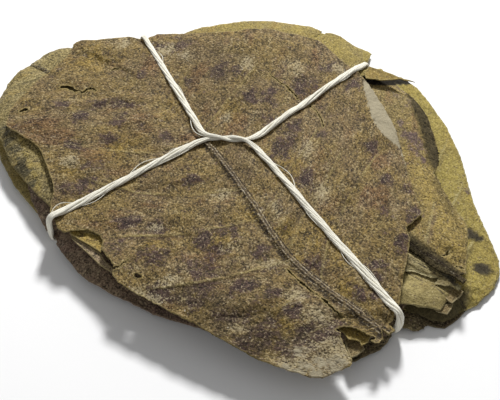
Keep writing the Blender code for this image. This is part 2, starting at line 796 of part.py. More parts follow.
def string_path(field):
    """The whole string, from one tail of the knot to the other."""
    height = twist_height(field)
    left = arm(field, TWIST_START, LEFT_EXIT, height)
    near = arm(field, TWIST_END, NEAR_EXIT, height)
    far = arm(field, TWIST_START, FAR_EXIT, height)
    right = arm(field, TWIST_END, RIGHT_EXIT, height)
    left_tail = smooth_run(knot_hook(*LEFT_HOOK))
    right_tail = smooth_run(knot_hook(*RIGHT_HOOK))
    pieces = [
        left_tail[::-1],
        left[::-1],
        np.array(twist(field, 1)),
        near,
        smooth_run(under_run()),
        far[::-1],
        np.array(twist(field, 0)),
        right,
        right_tail,
    ]
    path = softened(resampled(np.concatenate(pieces)), BEND_EASE)
    path[:, 2] = np.maximum(path[:, 2], path[:, 3] + AIR)
    return path


def string_object(path):
    """The string as one tube along its route, with the points thinned where it runs straight."""
    kept = simplified([tuple(p) for p in path], 0.09)
    kept = split_open(kept, 14.0)
    curve = bpy.data.curves.new("tie_string", "CURVE")
    curve.dimensions = "3D"
    curve.bevel_depth = MM
    curve.bevel_resolution = 2
    curve.use_fill_caps = True
    spline = curve.splines.new("POLY")
    spline.points.add(len(kept) - 1)
    for point, (x, y, z, radius) in zip(spline.points, kept):
        point.co = (*at_stack((x, y), z), 1)
        point.radius = radius
    obj = bpy.data.objects.new("tie_string", curve)
    stack_collection.objects.link(obj)
    curve.materials.append(dry_material("cotton_string", (0.78, 0.76, 0.68), 0.9))
    return obj


def split_open(points, longest):
    """An open run of points with its long stretches cut into equal ones."""
    result = []
    for a, b in zip(points, points[1:]):
        parts = max(1, math.ceil(math.dist(a[:3], b[:3]) / longest))
        for k in range(parts):
            result.append(tuple(np.array(a) + (np.array(b) - np.array(a)) * k / parts))
    result.append(points[-1])
    return result


for old in list(bpy.data.objects):
    bpy.data.objects.remove(old, do_unlink=True)
stack_collection = bpy.data.collections.new("indian_almond_leaf_stack")
bpy.context.scene.collection.children.link(stack_collection)

stack_field = Field()
for floor_run in (knot_hook(*LEFT_HOOK), knot_hook(*RIGHT_HOOK), under_run()):
    run_path = smooth_run(floor_run)
    stack_field.add_string(run_path, run_path[:, 3])
for exit_spot, inner_end in (
    (LEFT_EXIT, knot_hook(*LEFT_HOOK)[0]),
    (RIGHT_EXIT, knot_hook(*RIGHT_HOOK)[0]),
    (NEAR_EXIT, under_run()[0]),
    (FAR_EXIT, under_run()[-1]),
):
    straight = smooth_run(((*exit_spot, AIR + PRESSED_RADIUS, PRESSED_RADIUS), inner_end))
    stack_field.add_string(straight, straight[:, 3])
for stack_leaf in LEAVES:
    laid = lay(stack_leaf, stack_field)
    leaf_object(stack_leaf, *laid)
route = string_path(stack_field)
string_object(route)
print("string length", round(float(np.linalg.norm(np.diff(route[:, :3], axis=0), axis=1).sum()), 1))
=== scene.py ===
import math
from functools import partial

import bmesh
import bpy
import numpy as np
from mathutils import Matrix, Vector, noise
from mathutils.bvhtree import BVHTree
from mathutils.kdtree import KDTree


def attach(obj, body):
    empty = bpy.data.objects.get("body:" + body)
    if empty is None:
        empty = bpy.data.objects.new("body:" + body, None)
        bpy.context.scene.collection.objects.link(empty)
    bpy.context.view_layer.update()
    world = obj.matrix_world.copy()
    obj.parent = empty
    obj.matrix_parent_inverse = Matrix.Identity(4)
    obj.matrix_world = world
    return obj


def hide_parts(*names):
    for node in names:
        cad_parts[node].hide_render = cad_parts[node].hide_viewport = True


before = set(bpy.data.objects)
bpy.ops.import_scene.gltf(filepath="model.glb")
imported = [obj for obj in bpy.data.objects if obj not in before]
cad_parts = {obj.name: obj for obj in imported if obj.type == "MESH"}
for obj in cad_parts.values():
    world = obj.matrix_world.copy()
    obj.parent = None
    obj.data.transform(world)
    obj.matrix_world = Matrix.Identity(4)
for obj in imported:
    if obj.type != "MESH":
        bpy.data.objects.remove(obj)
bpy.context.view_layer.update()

# The photograph's viewpoint: a camera over the stalk end of the stack, 48 degrees above the surface,
# turned so that the top leaf's tip lies to the upper left.
MM = 0.001
STACK_CENTRE = Vector((18.93, -17.48, 0.0))
CAMERA_HEIGHT = math.radians(48.0)
CAMERA_TURN = math.radians(130.0)
CAMERA_REACH = 450.0
SEEN_WIDTH = 210.0


def from_camera_floor(x, y, z):
    """A direction given to the right of, away from and above the camera, in the stack's frame."""
    return Matrix.Rotation(-CAMERA_TURN, 3, "Z") @ Vector((x, y, z))


camera_back = from_camera_floor(0.0, -math.cos(CAMERA_HEIGHT), math.sin(CAMERA_HEIGHT))
camera_right = from_camera_floor(1.0, 0.0, 0.0)
camera_up = camera_back.cross(camera_right)
camera_place = (Vector((0.0, 0.0, 8.0)) + camera_back * CAMERA_REACH - STACK_CENTRE) * MM
camera = bpy.data.objects.new("viewpoint", bpy.data.cameras.new("viewpoint"))
camera.data.sensor_width = 36.0
camera.data.lens = 36.0 * CAMERA_REACH / SEEN_WIDTH
camera.data.clip_start = 0.01
camera.matrix_world = Matrix.Translation(camera_place) @ Matrix(
    (camera_right, camera_up, camera_back)).transposed().to_4x4()
bpy.context.scene.collection.objects.link(camera)
bpy.context.scene.camera = camera

# Plain pale studio floor and its light: a small lamp behind the stack, a wide and weak one in front
# of it, and an even pale sky.
bpy.context.scene.view_settings.view_transform = "Standard"
floor_shape = bmesh.new()
bmesh.ops.create_grid(floor_shape, x_segments=1, y_segments=1, size=3.0)
bmesh.ops.translate(floor_shape, verts=floor_shape.verts, vec=(0.0, 0.0, -0.0002))
floor_mesh = bpy.data.meshes.new("studio_floor")
floor_shape.to_mesh(floor_mesh)
floor_shape.free()
studio_floor = bpy.data.objects.new("studio_floor", floor_mesh)
bpy.context.scene.collection.objects.link(studio_floor)
floor_paint = bpy.data.materials.new("studio_floor_paint")
floor_paint.use_nodes = True
floor_paint.node_tree.nodes["Principled BSDF"].inputs["Base Color"].default_value = (0.9, 0.9, 0.9, 1)
floor_paint.node_tree.nodes["Principled BSDF"].inputs["Roughness"].default_value = 0.9
floor_mesh.materials.append(floor_paint)


def studio_lamp(name, away, size, power):
    """A square lamp at a place given from the camera's side, aimed at the stack."""
    lamp = bpy.data.objects.new(name, bpy.data.lights.new(name, "AREA"))
    lamp.data.size = size
    lamp.data.energy = power
    place = from_camera_floor(*away)
    lamp.matrix_world = Matrix.Translation(place) @ place.to_track_quat("Z", "Y").to_matrix().to_4x4()
    bpy.context.scene.collection.objects.link(lamp)


studio_lamp("back_lamp", (0.14, 0.95, 0.85), 0.2, 23.0)
studio_lamp("front_lamp", (-0.7, -0.8, 1.1), 0.9, 1.0)
sky = bpy.data.worlds.new("pale_sky")
sky.use_nodes = True
sky.node_tree.nodes["Background"].inputs["Color"].default_value = (1.0, 1.0, 1.0, 1.0)
sky.node_tree.nodes["Background"].inputs["Strength"].default_value = 0.29
bpy.context.scene.world = sky

# The dark leaf at the bottom of the stack: one dried blade, crumpled and torn at its rim, that the
# others lie on. All ten blades are finished in the same way, so the way is set out here: the lower
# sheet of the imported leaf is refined, crumpled, torn and thickened to a thin blade with raised veins.
FOLD_LIMIT = math.radians(60.0)
PACKED_BLADE = 0.6
BLADE = 0.42
THINNEST = 0.2
FULL_THICKNESS = 2.4
REST_GAP = 0.06
COVER_REACH = 6.5
OVER_START = 0.62
UNDER_START = 0.01
FREE_SINK = 3.0
LIFT_SHARE = 0.64
LIFT_FADE = 26.0
LIFT_ROUNDS = 14
RISE_SHARE = 0.65
RISE_PAST_LIFT = 0.45
RISE_ROOM = 2.3
SINK_SHARE = 0.3
SETTLE_SHARE = 0.9
SETTLE_REACH = 7.0
RIM_REFINED = 0.7
TEAR_REFINED = (1.3, 0.55)
RAGGED_REACH = 3.0
WORN_ZONE = 1.5
WORN_REACH = 0.7
RIB_HALF = 1.75
RIB_NARROWING = 1.15
RIB_FADE = 16.0
FURROW_DEPTH = 0.24
VEIN_HEIGHT = 0.28
VEIN_HALF = 0.7
VEIN_SLOPE = 0.5
VEIN_CURVE = 0.0044
FAR_OFF = 99.0


def lower_sheet(node):
    """The underside of a packed leaf as a sheet that faces up, in millimetres of the stack's frame."""
    shape = bmesh.new()
    shape.from_mesh(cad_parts[node].data)
    bmesh.ops.remove_doubles(shape, verts=shape.verts, dist=1e-6)
    bmesh.ops.scale(shape, verts=shape.verts, vec=(1 / MM, 1 / MM, 1 / MM))
    bmesh.ops.translate(shape, verts=shape.verts, vec=STACK_CENTRE)
    shape.normal_update()
    first = min(shape.faces, key=lambda face: face.normal.z)
    sheet = {first}
    reached = [first]
    while reached:
        for edge in reached.pop().edges:
            if edge.calc_face_angle(0.0) < FOLD_LIMIT:
                fresh = [face for face in edge.link_faces if face not in sheet]
                sheet.update(fresh)
                reached += fresh
    wall = [face for face in shape.faces if face not in sheet]
    bmesh.ops.delete(shape, geom=wall, context="FACES")
    bmesh.ops.reverse_faces(shape, faces=shape.faces)
    return shape


def refine(shape, edges):
    """Halves some edges of a sheet and keeps it in triangles."""
    bmesh.ops.subdivide_edges(shape, edges=edges, cuts=1, use_grid_fill=True)
    wide = [face for face in shape.faces if len(face.verts) > 3]
    bmesh.ops.triangulate(shape, faces=wide)


def leaf_places(seat, points):
    """Along and across each leaf's straight axis, and across from its bowed midrib, for stack points."""
    turn = math.radians(seat["heading"])
    x = points[:, 0] - seat["base"][0]
    y = points[:, 1] - seat["base"][1]
    along = x * math.cos(turn) + y * math.sin(turn)
    across = y * math.cos(turn) - x * math.sin(turn)
    if "midrib" in seat:
        midrib = np.mean([np.interp(along + k, *zip(*seat["midrib"])) for k in (-6, 0, 6)], 0)
    else:
        midrib = seat.get("bend", 0) * np.sin(np.clip(along / seat["length"], 0, 1) * math.pi)
    return along, across, across - midrib


def from_run(along, across, start, end):
    """How far points lie from a straight run between two spots, and at what share of its length."""
    da = end[0] - start[0]
    dc = end[1] - start[1]
    share = np.clip(((along - start[0]) * da + (across - start[1]) * dc) / (da**2 + dc**2), 0, 1)
    return np.hypot(along - start[0] - share * da, across - start[1] - share * dc), share


def chain_distance(along, across, chain):
    """Distance from each point to a chain of (along, across, half width), less its half width there."""
    off = np.full(len(along), FAR_OFF)
    for start, end in zip(chain, chain[1:]):
        here, share = from_run(along, across, start, end)
        off = np.minimum(off, here - start[2] - share * (end[2] - start[2]))
    return off


def tear_depth(along, across, tears):
    """How far each point lies inside the nearest tear, in millimetres, with a ragged edge.

    A tear is a chain of discs, or a side of the leaf (1 or -1) torn off past a line.
    """
    depth = np.full(len(along), -FAR_OFF)
    for tear in tears:
        if isinstance(tear, dict):
            line = tear["line"]
            past = (across - np.interp(along, *zip(*line))) * tear["side"]
            past = np.minimum(past, np.minimum(along - line[0][0], line[-1][0] - along))
        else:
            past = -chain_distance(along, across, tear)
        depth = np.maximum(depth, past)
    for index in np.flatnonzero(np.abs(depth) < RAGGED_REACH):
        spot = Vector((along[index], across[index], 4.0))
        ragged = 0.35 * noise.noise(spot * 0.9) + 0.25 * noise.noise(spot * 2.2)
        depth[index] += ragged * min(1.0, 1.2 + depth[index] * 0.1)
    return depth


def cut_tears(shape, seat, tears):
    """Refines the sheet round each hole, crack and torn bay, and takes out what lies inside."""
    for reach in TEAR_REFINED:
        points = np.array([vert.co for vert in shape.verts])
        along, across, _ = leaf_places(seat, points)
        depth = tear_depth(along, across, tears)
        shape.verts.index_update()
        near = [edge for edge in shape.edges
                if max(depth[v.index] for v in edge.verts) > -reach
                and min(depth[v.index] for v in edge.verts) < 2 * reach]
        refine(shape, near)
    middles = np.array([face.calc_center_median() for face in shape.faces])
    along, across, _ = leaf_places(seat, middles)
    lost = tear_depth(along, across, tears) > 0
    gone = [face for face, torn in zip(shape.faces, lost) if torn]
    bmesh.ops.delete(shape, geom=gone, context="FACES")


def rim_distance(shape):
    """How far each vertex of a sheet lies from its rim, in millimetres."""
    rim = [edge for edge in shape.edges if edge.is_boundary]
    spots = [v.co for edge in rim for v in edge.verts]
    spots += [(edge.verts[0].co + edge.verts[1].co) / 2 for edge in rim]
    tree = KDTree(len(spots))
    for index, spot in enumerate(spots):
        tree.insert(spot, index)
    tree.balance()
    return np.array([tree.find(vert.co)[2] for vert in shape.verts])


def room(points, node, up):
    """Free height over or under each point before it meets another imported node, or the surface."""
    verts = []
    faces = []
    for name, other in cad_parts.items():
        if name != node:
            first = len(verts)
            verts += [v.co / MM + STACK_CENTRE for v in other.data.vertices]
            faces += [[first + k for k in face.vertices] for face in other.data.polygons]
    others = BVHTree.FromPolygons(verts, faces)
    way = Vector((0.0, 0.0, 1.0 if up else -1.0))
    free = np.full(len(points), COVER_REACH)
    for index, point in enumerate(points):
        hit = others.ray_cast(Vector(point), way, COVER_REACH)[3]
        if hit is not None:
            free[index] = hit
    if not up:
        free = np.minimum(free, points[:, 2])
    return free


def raised(mesh, points, rim, over):
    """How far a covered blade rises to lie close under the next one, eased off where it's in view."""
    lift = LIFT_SHARE * np.maximum(over - PACKED_BLADE - REST_GAP, 0.0)
    covered = over < COVER_REACH - 0.01
    if not covered.any():
        return 0 * lift
    tree = KDTree(len(points))
    for index in np.flatnonzero(covered):
        tree.insert(points[index], int(index))
    tree.balance()
    for index in np.flatnonzero(~covered):
        nearest = tree.find_n(points[index], 5)
        fade = max(0.0, 1.0 - nearest[0][2] / LIFT_FADE)
        lift[index] = min(lift[near] for _, near, _ in nearest) * fade
    lift *= np.clip((rim - 0.3) / 3.0, 0, 1)
    ends = np.zeros(len(mesh.edges) * 2, int)
    mesh.edges.foreach_get("vertices", ends)
    ends = ends.reshape(-1, 2)
    shares = np.maximum(np.bincount(ends.ravel(), minlength=len(points)), 1)
    most = np.where(covered, lift, 9.0)
    for _ in range(LIFT_ROUNDS):
        sums = np.bincount(ends[:, 0], lift[ends[:, 1]], len(points))
        sums += np.bincount(ends[:, 1], lift[ends[:, 0]], len(points))
        lift = np.minimum(0.4 * lift + 0.6 * sums / shares, most)
    return lift


def crumple(x, y, seed):
    """Relief of a crumpled dry blade from about -1 to 1: broad waves, sharp folds, fine grain."""
    spot = Vector((x, y, seed))
    broad = noise.noise(spot * 0.05)
    fold = 0.35 - abs(noise.noise(spot * 0.09 + Vector((3.1, 7.7, 1.3)))) * 1.9
    small = 0.30 - abs(noise.noise(spot * 0.23 + Vector((9.4, 2.2, 5.9)))) * 1.6
    return 0.6 * broad + 0.5 * fold + 0.34 * small + 0.16 * noise.noise(spot * 0.6)


def run_of(points, size):
    """Marks set close along a line."""
    marks = []
    for (a0, c0), (a1, c1) in zip(points, points[1:]):
        steps = max(1, round(math.hypot(a1 - a0, c1 - c0) / (0.45 * size)))
        marks += [(a0 + (a1 - a0) * k / steps, c0 + (c1 - c0) * k / steps, size) for k in range(steps)]
    return marks + [(*points[-1], size)]


def band(soft, force, *chain):
    """A mark that keeps its outline: a chain of (along, across, half width) with a soft edge."""
    return {"soft": soft, "force": force, "chain": chain}


def vein_slope(reach):
    """How far the side veins run towards the tip for each millimetre away from the midrib."""
    return VEIN_SLOPE + VEIN_CURVE * reach


def mark_field(along, across, marks):
    """How strongly the given marks cover each point. A spot is drawn out along the side veins."""
    cover = np.zeros(len(along))
    side = np.where(across > 0, 1.0, -1.0)
    slope = vein_slope(np.abs(across))
    lean = 1.0 / np.hypot(1.0, slope)
    for mark in marks:
        if isinstance(mark, dict):
            inside = np.clip(0.5 - chain_distance(along, across, mark["chain"]) / mark["soft"], 0, 1)
            cover = np.maximum(cover, inside * mark["force"])
            continue
        a, c, size, *force = mark
        da = along - a
        dc = across - c
        lengthwise = (da * slope + dc * side) * lean
        crosswise = (da - dc * side * slope) * lean
        spread = np.exp(-((lengthwise / (1.2 * size)) ** 2) - (crosswise / (0.85 * size)) ** 2)
        cover = np.maximum(cover, spread * (force[0] if force else 1.0))
    return cover


def vein_fields(seat, along, across, off_rib, rim):
    """Signed distance to the nearest side vein, how clear that vein is, and the swell between veins."""
    reach = np.abs(off_rib)
    if "vein_lines" in seat:
        near = np.full(len(along), FAR_OFF)
        side = np.ones(len(along))
        clear = np.zeros(len(along))
        for strength, line in seat["vein_lines"]:
            for start, end in zip(line, line[1:]):
                off, _ = from_run(along, across, start, end)
                turn = (along - start[0]) * (end[1] - start[1]) - (across - start[1]) * (end[0] - start[0])
                clear = np.where(off < near, strength, clear)
                side = np.where(off < near, np.sign(turn), side)
                near = np.minimum(near, off)
        offset = near * side
        swell = np.clip(near / 8, 0, 1)
    else:
        gap = 0.86 * seat["length"] / (seat["veins"] + 0.6)
        first = 0.04 * seat["length"] + gap * (0.7 + 0.12 * np.where(off_rib > 0, 1.0, -1.0))
        phase = (along - VEIN_SLOPE * reach - VEIN_CURVE / 2 * reach**2 - first) / gap
        offset = (phase - np.round(phase)) * gap / np.hypot(1.0, vein_slope(reach))
        swell = 0.5 - np.cos(2 * math.pi * phase) * 0.5
        clear = np.clip(1.2 - reach / 55, 0, 1)
    clear = clear * np.clip((rim - 1.0) / 4.0, 0, 1) * np.clip((5 - np.abs(offset)) / 2, 0, 1)
    swell = swell * swell * (3 - 2 * swell)
    return offset, clear, swell * np.clip(reach / 9, 0, 1)


def keep_field(mesh, name, *parts):
    """Keeps three or four values for each vertex of a mesh, for the skin to read."""
    kind, values = ("FLOAT_COLOR", "color") if len(parts) == 4 else ("FLOAT_VECTOR", "vector")
    field = mesh.attributes.new(name, kind, "POINT")
    field.data.foreach_set(values, np.stack(parts, 1).astype(np.float32).ravel())


def place_points(mesh, points):
    """Sets a mesh's vertices to points given in millimetres of the stack's frame."""
    mesh.vertices.foreach_set("co", ((points - np.array(STACK_CENTRE)) * MM).ravel())


def sheet_piece(mesh, thickness):
    """An object for a sheet of leaf, thickened upwards, that belongs to the stack's one body."""
    mesh.shade_smooth()
    piece = bpy.data.objects.new(mesh.name, mesh)
    bpy.context.scene.collection.objects.link(piece)
    wall = piece.modifiers.new("Blade thickness", "SOLIDIFY")
    wall.thickness = thickness * MM
    wall.offset = 1.0
    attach(piece, "root")
    return piece


# One list of marks darkens the blade towards a dark tone: it holds painted shade and painted shadow as well
# as real dark patches.
def dried_blade(node, seat, levels=3, relief=0.8, rib=0.7, rib_width=1.0, quilt=0.25, tears=(),
                stains=(), scurf=(), ochre=(), rust=(), bare=(), shade_and_patches=(), worn=0.3, lifted=True):
    """One finished blade over a packed leaf: a fine crumpled sheet thickened to veins and midrib."""
    shape = lower_sheet(node)
    for _ in range(levels):
        refine(shape, shape.edges)
        inner = [vert for vert in shape.verts if not vert.is_boundary]
        bmesh.ops.smooth_vert(shape, verts=inner, factor=0.5, use_axis_z=True)
    shape.verts.index_update()
    rim = rim_distance(shape)
    refine(shape, [edge for edge in shape.edges if min(rim[v.index] for v in edge.verts) < RIM_REFINED])
    if tears:
        cut_tears(shape, seat, tears)
    shape.verts.index_update()
    rim = rim_distance(shape)
    mesh = bpy.data.meshes.new(node + "_blade")
    shape.to_mesh(mesh)
    shape.free()
    count = len(mesh.vertices)
    points = np.zeros(count * 3)
    mesh.vertices.foreach_get("co", points)
    points = points.reshape(-1, 3)
    along, across, off_rib = leaf_places(seat, points)
    share = np.clip(along / seat["length"], 0, 1)
    reach = np.abs(off_rib)
    seed = 11.0 * int(node[-2:])
    over = room(points + (0.0, 0.0, OVER_START), node, True) + OVER_START
    lift = raised(mesh, points, rim, over) if lifted else 0 * rim
    under = room(points - (0.0, 0.0, UNDER_START), node, False)
    alone = (under > COVER_REACH - 0.05) | (under > points[:, 2] - 0.05)
    under = np.where(alone, np.minimum(under, FREE_SINK), under)
    wave = np.array([crumple(x, y, seed) for x, y, _ in points])
    vein_off, vein_on, swell = vein_fields(seat, along, across, off_rib, rim)
    rib_on = np.clip((seat.get("rib_end", 2 * seat["length"]) - along) / RIB_FADE, 0, 1)
    wave = relief * (wave + 0.35) + quilt * swell
    wave *= np.maximum(np.clip(reach / 5.0, 0.25, 1.0), 1 - rib_on)
    spare = np.maximum(over - PACKED_BLADE - REST_GAP, 0.0)
    high = np.minimum(RISE_SHARE * spare, lift + RISE_PAST_LIFT * np.minimum(spare, RISE_ROOM))
    low = np.maximum(SINK_SHARE * (under - REST_GAP), 0.0)
    settle = SETTLE_SHARE * low * np.exp(-((rim / SETTLE_REACH) ** 2)) * (1 - np.clip(lift, 0, 1))
    points[:, 2] += np.clip(wave + lift - settle, -low, high)
    half = rib_width * (RIB_HALF - RIB_NARROWING * share)
    ridge = rib * (1 - 0.8 * share) * np.exp(-((reach / half) ** 3)) * rib_on
    furrow = FURROW_DEPTH * np.exp(-(((reach - 1.7 * half) / (0.6 * half)) ** 2))
    furrow *= (1 - 0.5 * share) * rib_on
    vein = VEIN_HEIGHT * np.exp(-((vein_off / VEIN_HALF) ** 2)) * vein_on
    thick = np.clip(BLADE + ridge + vein - furrow, THINNEST, FULL_THICKNESS)
    thick = np.minimum(thick, np.maximum(over - high - REST_GAP, THINNEST))
    for index in np.flatnonzero(rim < WORN_ZONE):
        ease = worn * math.exp(-rim[index] / WORN_REACH)
        spot = Vector((points[index, 0], points[index, 1], seed))
        for axis in (0, 1):
            points[index, axis] += ease * (noise.noise(spot * 0.45) + 0.5 * noise.noise(spot * 1.3))
            spot.z += 40.0
    place_points(mesh, points)
    mesh.update()
    slope = np.zeros(count * 3)
    mesh.vertices.foreach_get("normal", slope)
    thick *= np.clip(slope[2::3] * 1.6, 0.03, 1.0)
    keep_field(mesh, "leaf_place", along, off_rib, rim)
    keep_field(mesh, "leaf_marks", *[mark_field(along, across, spots)
                                     for spots in (stains, scurf, ochre, rust)])
    keep_field(mesh, "leaf_more", mark_field(along, across, bare), mark_field(along, across, shade_and_patches), rib_on)
    keep_field(mesh, "leaf_vein", vein_off, vein_on, 0 * rim)
    blade = sheet_piece(mesh, FULL_THICKNESS)
    body = blade.vertex_groups.new(name="thickness")
    for index, weight in enumerate(thick / FULL_THICKNESS):
        body.add([index], float(weight), "REPLACE")
    blade.modifiers["Blade thickness"].vertex_group = body.name
    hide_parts(node)
    return blade


def put(tree, kind, inputs=None, **settings):
    """Adds a shader node. Each input is a plain value or the socket that feeds it."""
    made = tree.nodes.new(kind)
    for key, value in settings.items():
        setattr(made, key, value)
    for key, value in (inputs or {}).items():
        if isinstance(value, bpy.types.NodeSocket):
            tree.links.new(value, made.inputs[key])
        else:
            made.inputs[key].default_value = value
    return made


def step_of(tree, value, low, high):
    """A smooth step from 0 at low to 1 at high, or the other way when low is the larger."""
    return put(tree, "ShaderNodeMapRange",
               {"Value": value, "From Min": low, "From Max": high, "To Min": 0.0, "To Max": 1.0},
               interpolation_type="SMOOTHSTEP").outputs["Result"]


def tint(tree, factor, under, over, way="MIX"):
    """Lays one colour over another."""
    made = put(tree, "ShaderNodeMix", {0: factor, 6: under, 7: over}, data_type="RGBA", blend_type=way)
    return made.outputs[2]


def grain(tree, vector, scale, detail, roughness=0.55):
    """A noise value from 0 to 1."""
    return put(tree, "ShaderNodeTexNoise", {"Vector": vector, "Scale": scale, "Detail": detail,
                                            "Roughness": roughness}).outputs["Fac"]


SKIN_INPUTS = {
    "Body": (0.25, 0.19, 0.09, 1), "Second": (0.20, 0.16, 0.10, 1), "Warm": (0.19, 0.11, 0.04, 1),
    "Stain": (0.08, 0.05, 0.045, 1), "Scurf": (0.38, 0.312, 0.188, 1), "Ochre": (0.28, 0.20, 0.05, 1),
    "Vein": (0.36, 0.30, 0.14, 1), "Rib": (0.25, 0.20, 0.11, 1), "Bare": (0.40, 0.34, 0.19, 1),
    "Shade And Patch": (0.06, 0.046, 0.024, 1), "Stain Cover": 0.3, "Scurf Cover": 0.3, "Warm Cover": 0.3,
    "Speckle": 0.5, "Vein Strength": 0.6, "Rib Half": 1.3, "Leaf Length": 200.0, "Seed": 0.0}
SEED_STEP = 17.0
# Near black, for painted shadow in deep gaps.
PAINTED_BLACK_SHADOW = (0.010, 0.008, 0.005, 1)
FURROW_SHADE_TONE = (0.03, 0.021, 0.012, 1)
RIB_GROOVE_SHADE_TONE = (0.022, 0.015, 0.010, 1)
RIB_HIGHLIGHT_TONE = (0.50, 0.44, 0.33, 1)
PALE_DOT_TONE = (0.55, 0.49, 0.39, 1)
PALE_SPECK_TONE = (0.45, 0.38, 0.228, 1)
leaf_skin = bpy.data.node_groups.new("dried_leaf_skin", "ShaderNodeTree")
for label, value in SKIN_INPUTS.items():
    kind = "NodeSocketColor" if isinstance(value, tuple) else "NodeSocketFloat"
    leaf_skin.interface.new_socket(label, in_out="INPUT", socket_type=kind).default_value = value
for label, kind in (("Color", "Color"), ("Roughness", "Float"), ("Height", "Float")):
    leaf_skin.interface.new_socket(label, in_out="OUTPUT", socket_type="NodeSocket" + kind)
# The three tools above, for use inside the shared skin.
step = partial(step_of, leaf_skin)
lay = partial(tint, leaf_skin)
haze = partial(grain, leaf_skin)


def calc(operation, *values):
    """A Math node inside the leaves' shared skin."""
    return put(leaf_skin, "ShaderNodeMath", dict(enumerate(values)), operation=operation).outputs[0]


def times(first, *others):
    """The product of all its values, inside the shared skin."""
    for value in others:
        first = calc("MULTIPLY", first, value)
    return first


def plus(first, *others):
    """The sum of all its values, inside the shared skin."""
    for value in others:
        first = calc("ADD", first, value)
    return first


def scaled(value, factor, shift):
    """A value times a factor, and a shift added, inside the shared skin."""
    return calc("MULTIPLY_ADD", value, factor, shift)


def told(name, output="Vector"):
    """An attribute of the blade's mesh, read inside the shared skin."""
    return put(leaf_skin, "ShaderNodeAttribute", attribute_name=name).outputs[output]


def told_parts(name):
    """The three numbers of such an attribute."""
    return put(leaf_skin, "ShaderNodeSeparateXYZ", {0: told(name)}).outputs


def combined(x, y):
    """A place on the leaf's skin, moved on by the leaf's own seed."""
    return put(leaf_skin, "ShaderNodeCombineXYZ", {0: x, 1: y, 2: given["Seed"]}).outputs[0]


given = leaf_skin.nodes.new("NodeGroupInput").outputs
along, off_rib, rim = told_parts("leaf_place")
marks = told("leaf_marks", "Color")
stain_at, scurf_at, ochre_at = put(leaf_skin, "ShaderNodeSeparateColor", {0: marks}).outputs
rust_at = told("leaf_marks", "Alpha")
bare_at, shade_and_patch_at, rib_on = told_parts("leaf_more")
vein_off, vein_on, _ = told_parts("leaf_vein")
reach = calc("ABSOLUTE", off_rib)
lean = scaled(reach, VEIN_CURVE / 2, VEIN_SLOPE)
flat = combined(along, off_rib)
drawn_out = combined(calc("SUBTRACT", along, times(lean, reach)), times(off_rib, 0.55))
wide_tone = haze(flat, 0.045, 4)
patches = haze(drawn_out, 0.08, 5, 0.62)
films = haze(drawn_out, 0.17, 7, 0.66)
blots = haze(flat, 0.17, 8, 0.72)
crusts = haze(drawn_out, 0.12, 6, 0.68)
mottle = haze(flat, 0.32, 5, 0.7)
flecks = haze(flat, 1.0, 2, 0.7)
motes = haze(drawn_out, 0.62, 4, 0.8)
grit = haze(flat, 1.4, 2, 0.6)
specks = haze(drawn_out, 1.1, 3, 0.65)
# Where no darkening marks lie: painted shade and dark patches hide the veins, net, pale specks and painted
# rim highlight.
clear_of_shade_marks = step(shade_and_patch_at, 0.6, 0.1)


def dots(scale, share):
    """Ragged dots of uneven size on a random share of the cells of a fine pattern."""
    cells = put(leaf_skin, "ShaderNodeTexVoronoi", {"Vector": flat, "Scale": scale}).outputs
    chance, width, _ = put(leaf_skin, "ShaderNodeSeparateColor", {0: cells["Color"]}).outputs
    size = scaled(width, 0.26, scaled(flecks, 0.5, -0.08))
    inside = step(calc("SUBTRACT", size, cells["Distance"]), -0.06, 0.06)
    return times(inside, calc("LESS_THAN", chance, share))


colour = lay(step(wide_tone, 0.42, 0.58), given["Body"], given["Second"])
warm = plus(patches, times(rust_at, 0.28), scaled(given["Warm Cover"], 0.4, -0.2))
colour = lay(times(step(warm, 0.46, 0.62), 0.9), colour, given["Warm"])
colour = lay(times(ochre_at, step(mottle, 0.3, 0.5), 0.85), colour, given["Ochre"])
film = plus(films, times(scurf_at, 0.22), scaled(given["Scurf Cover"], 0.4, -0.16))
film = step(film, 0.46, 0.62)
colour = lay(times(film, 0.17), colour, given["Scurf"])
crumbs = scaled(calc("SUBTRACT", motes, 0.5), 0.7, scaled(flecks, 0.5, -0.25))
blot = scaled(blots, 1.5, scaled(stain_at, 0.36, -0.32))
blot = plus(blot, crumbs, scaled(given["Stain Cover"], 0.4, -0.2))
halo = step(blot, 0.45, 0.60)
colour = lay(times(halo, 0.45), colour, given["Stain"])
colour = lay(times(step(blot, 0.55, 0.66), 0.85), colour, given["Stain"])
dark_share = times(scaled(halo, 0.5, 0.14), given["Speckle"])
colour = lay(times(dots(0.62, dark_share), 0.5), colour, given["Stain"])
dark = scaled(halo, 0.05, scaled(given["Speckle"], 0.06, -0.03))
dark = step(calc("SUBTRACT", specks, dark), 0.41, 0.35)
colour = lay(times(dark, 0.6), colour, given["Stain"])
# Painted shade and shadow, with some real dark patches: the darkening marks tint the colour towards their
# dark tone.
shade_and_patch_tint = times(shade_and_patch_at, step(plus(mottle, shade_and_patch_at), 0.45, 1.0))
colour = lay(shade_and_patch_tint, colour, given["Shade And Patch"])
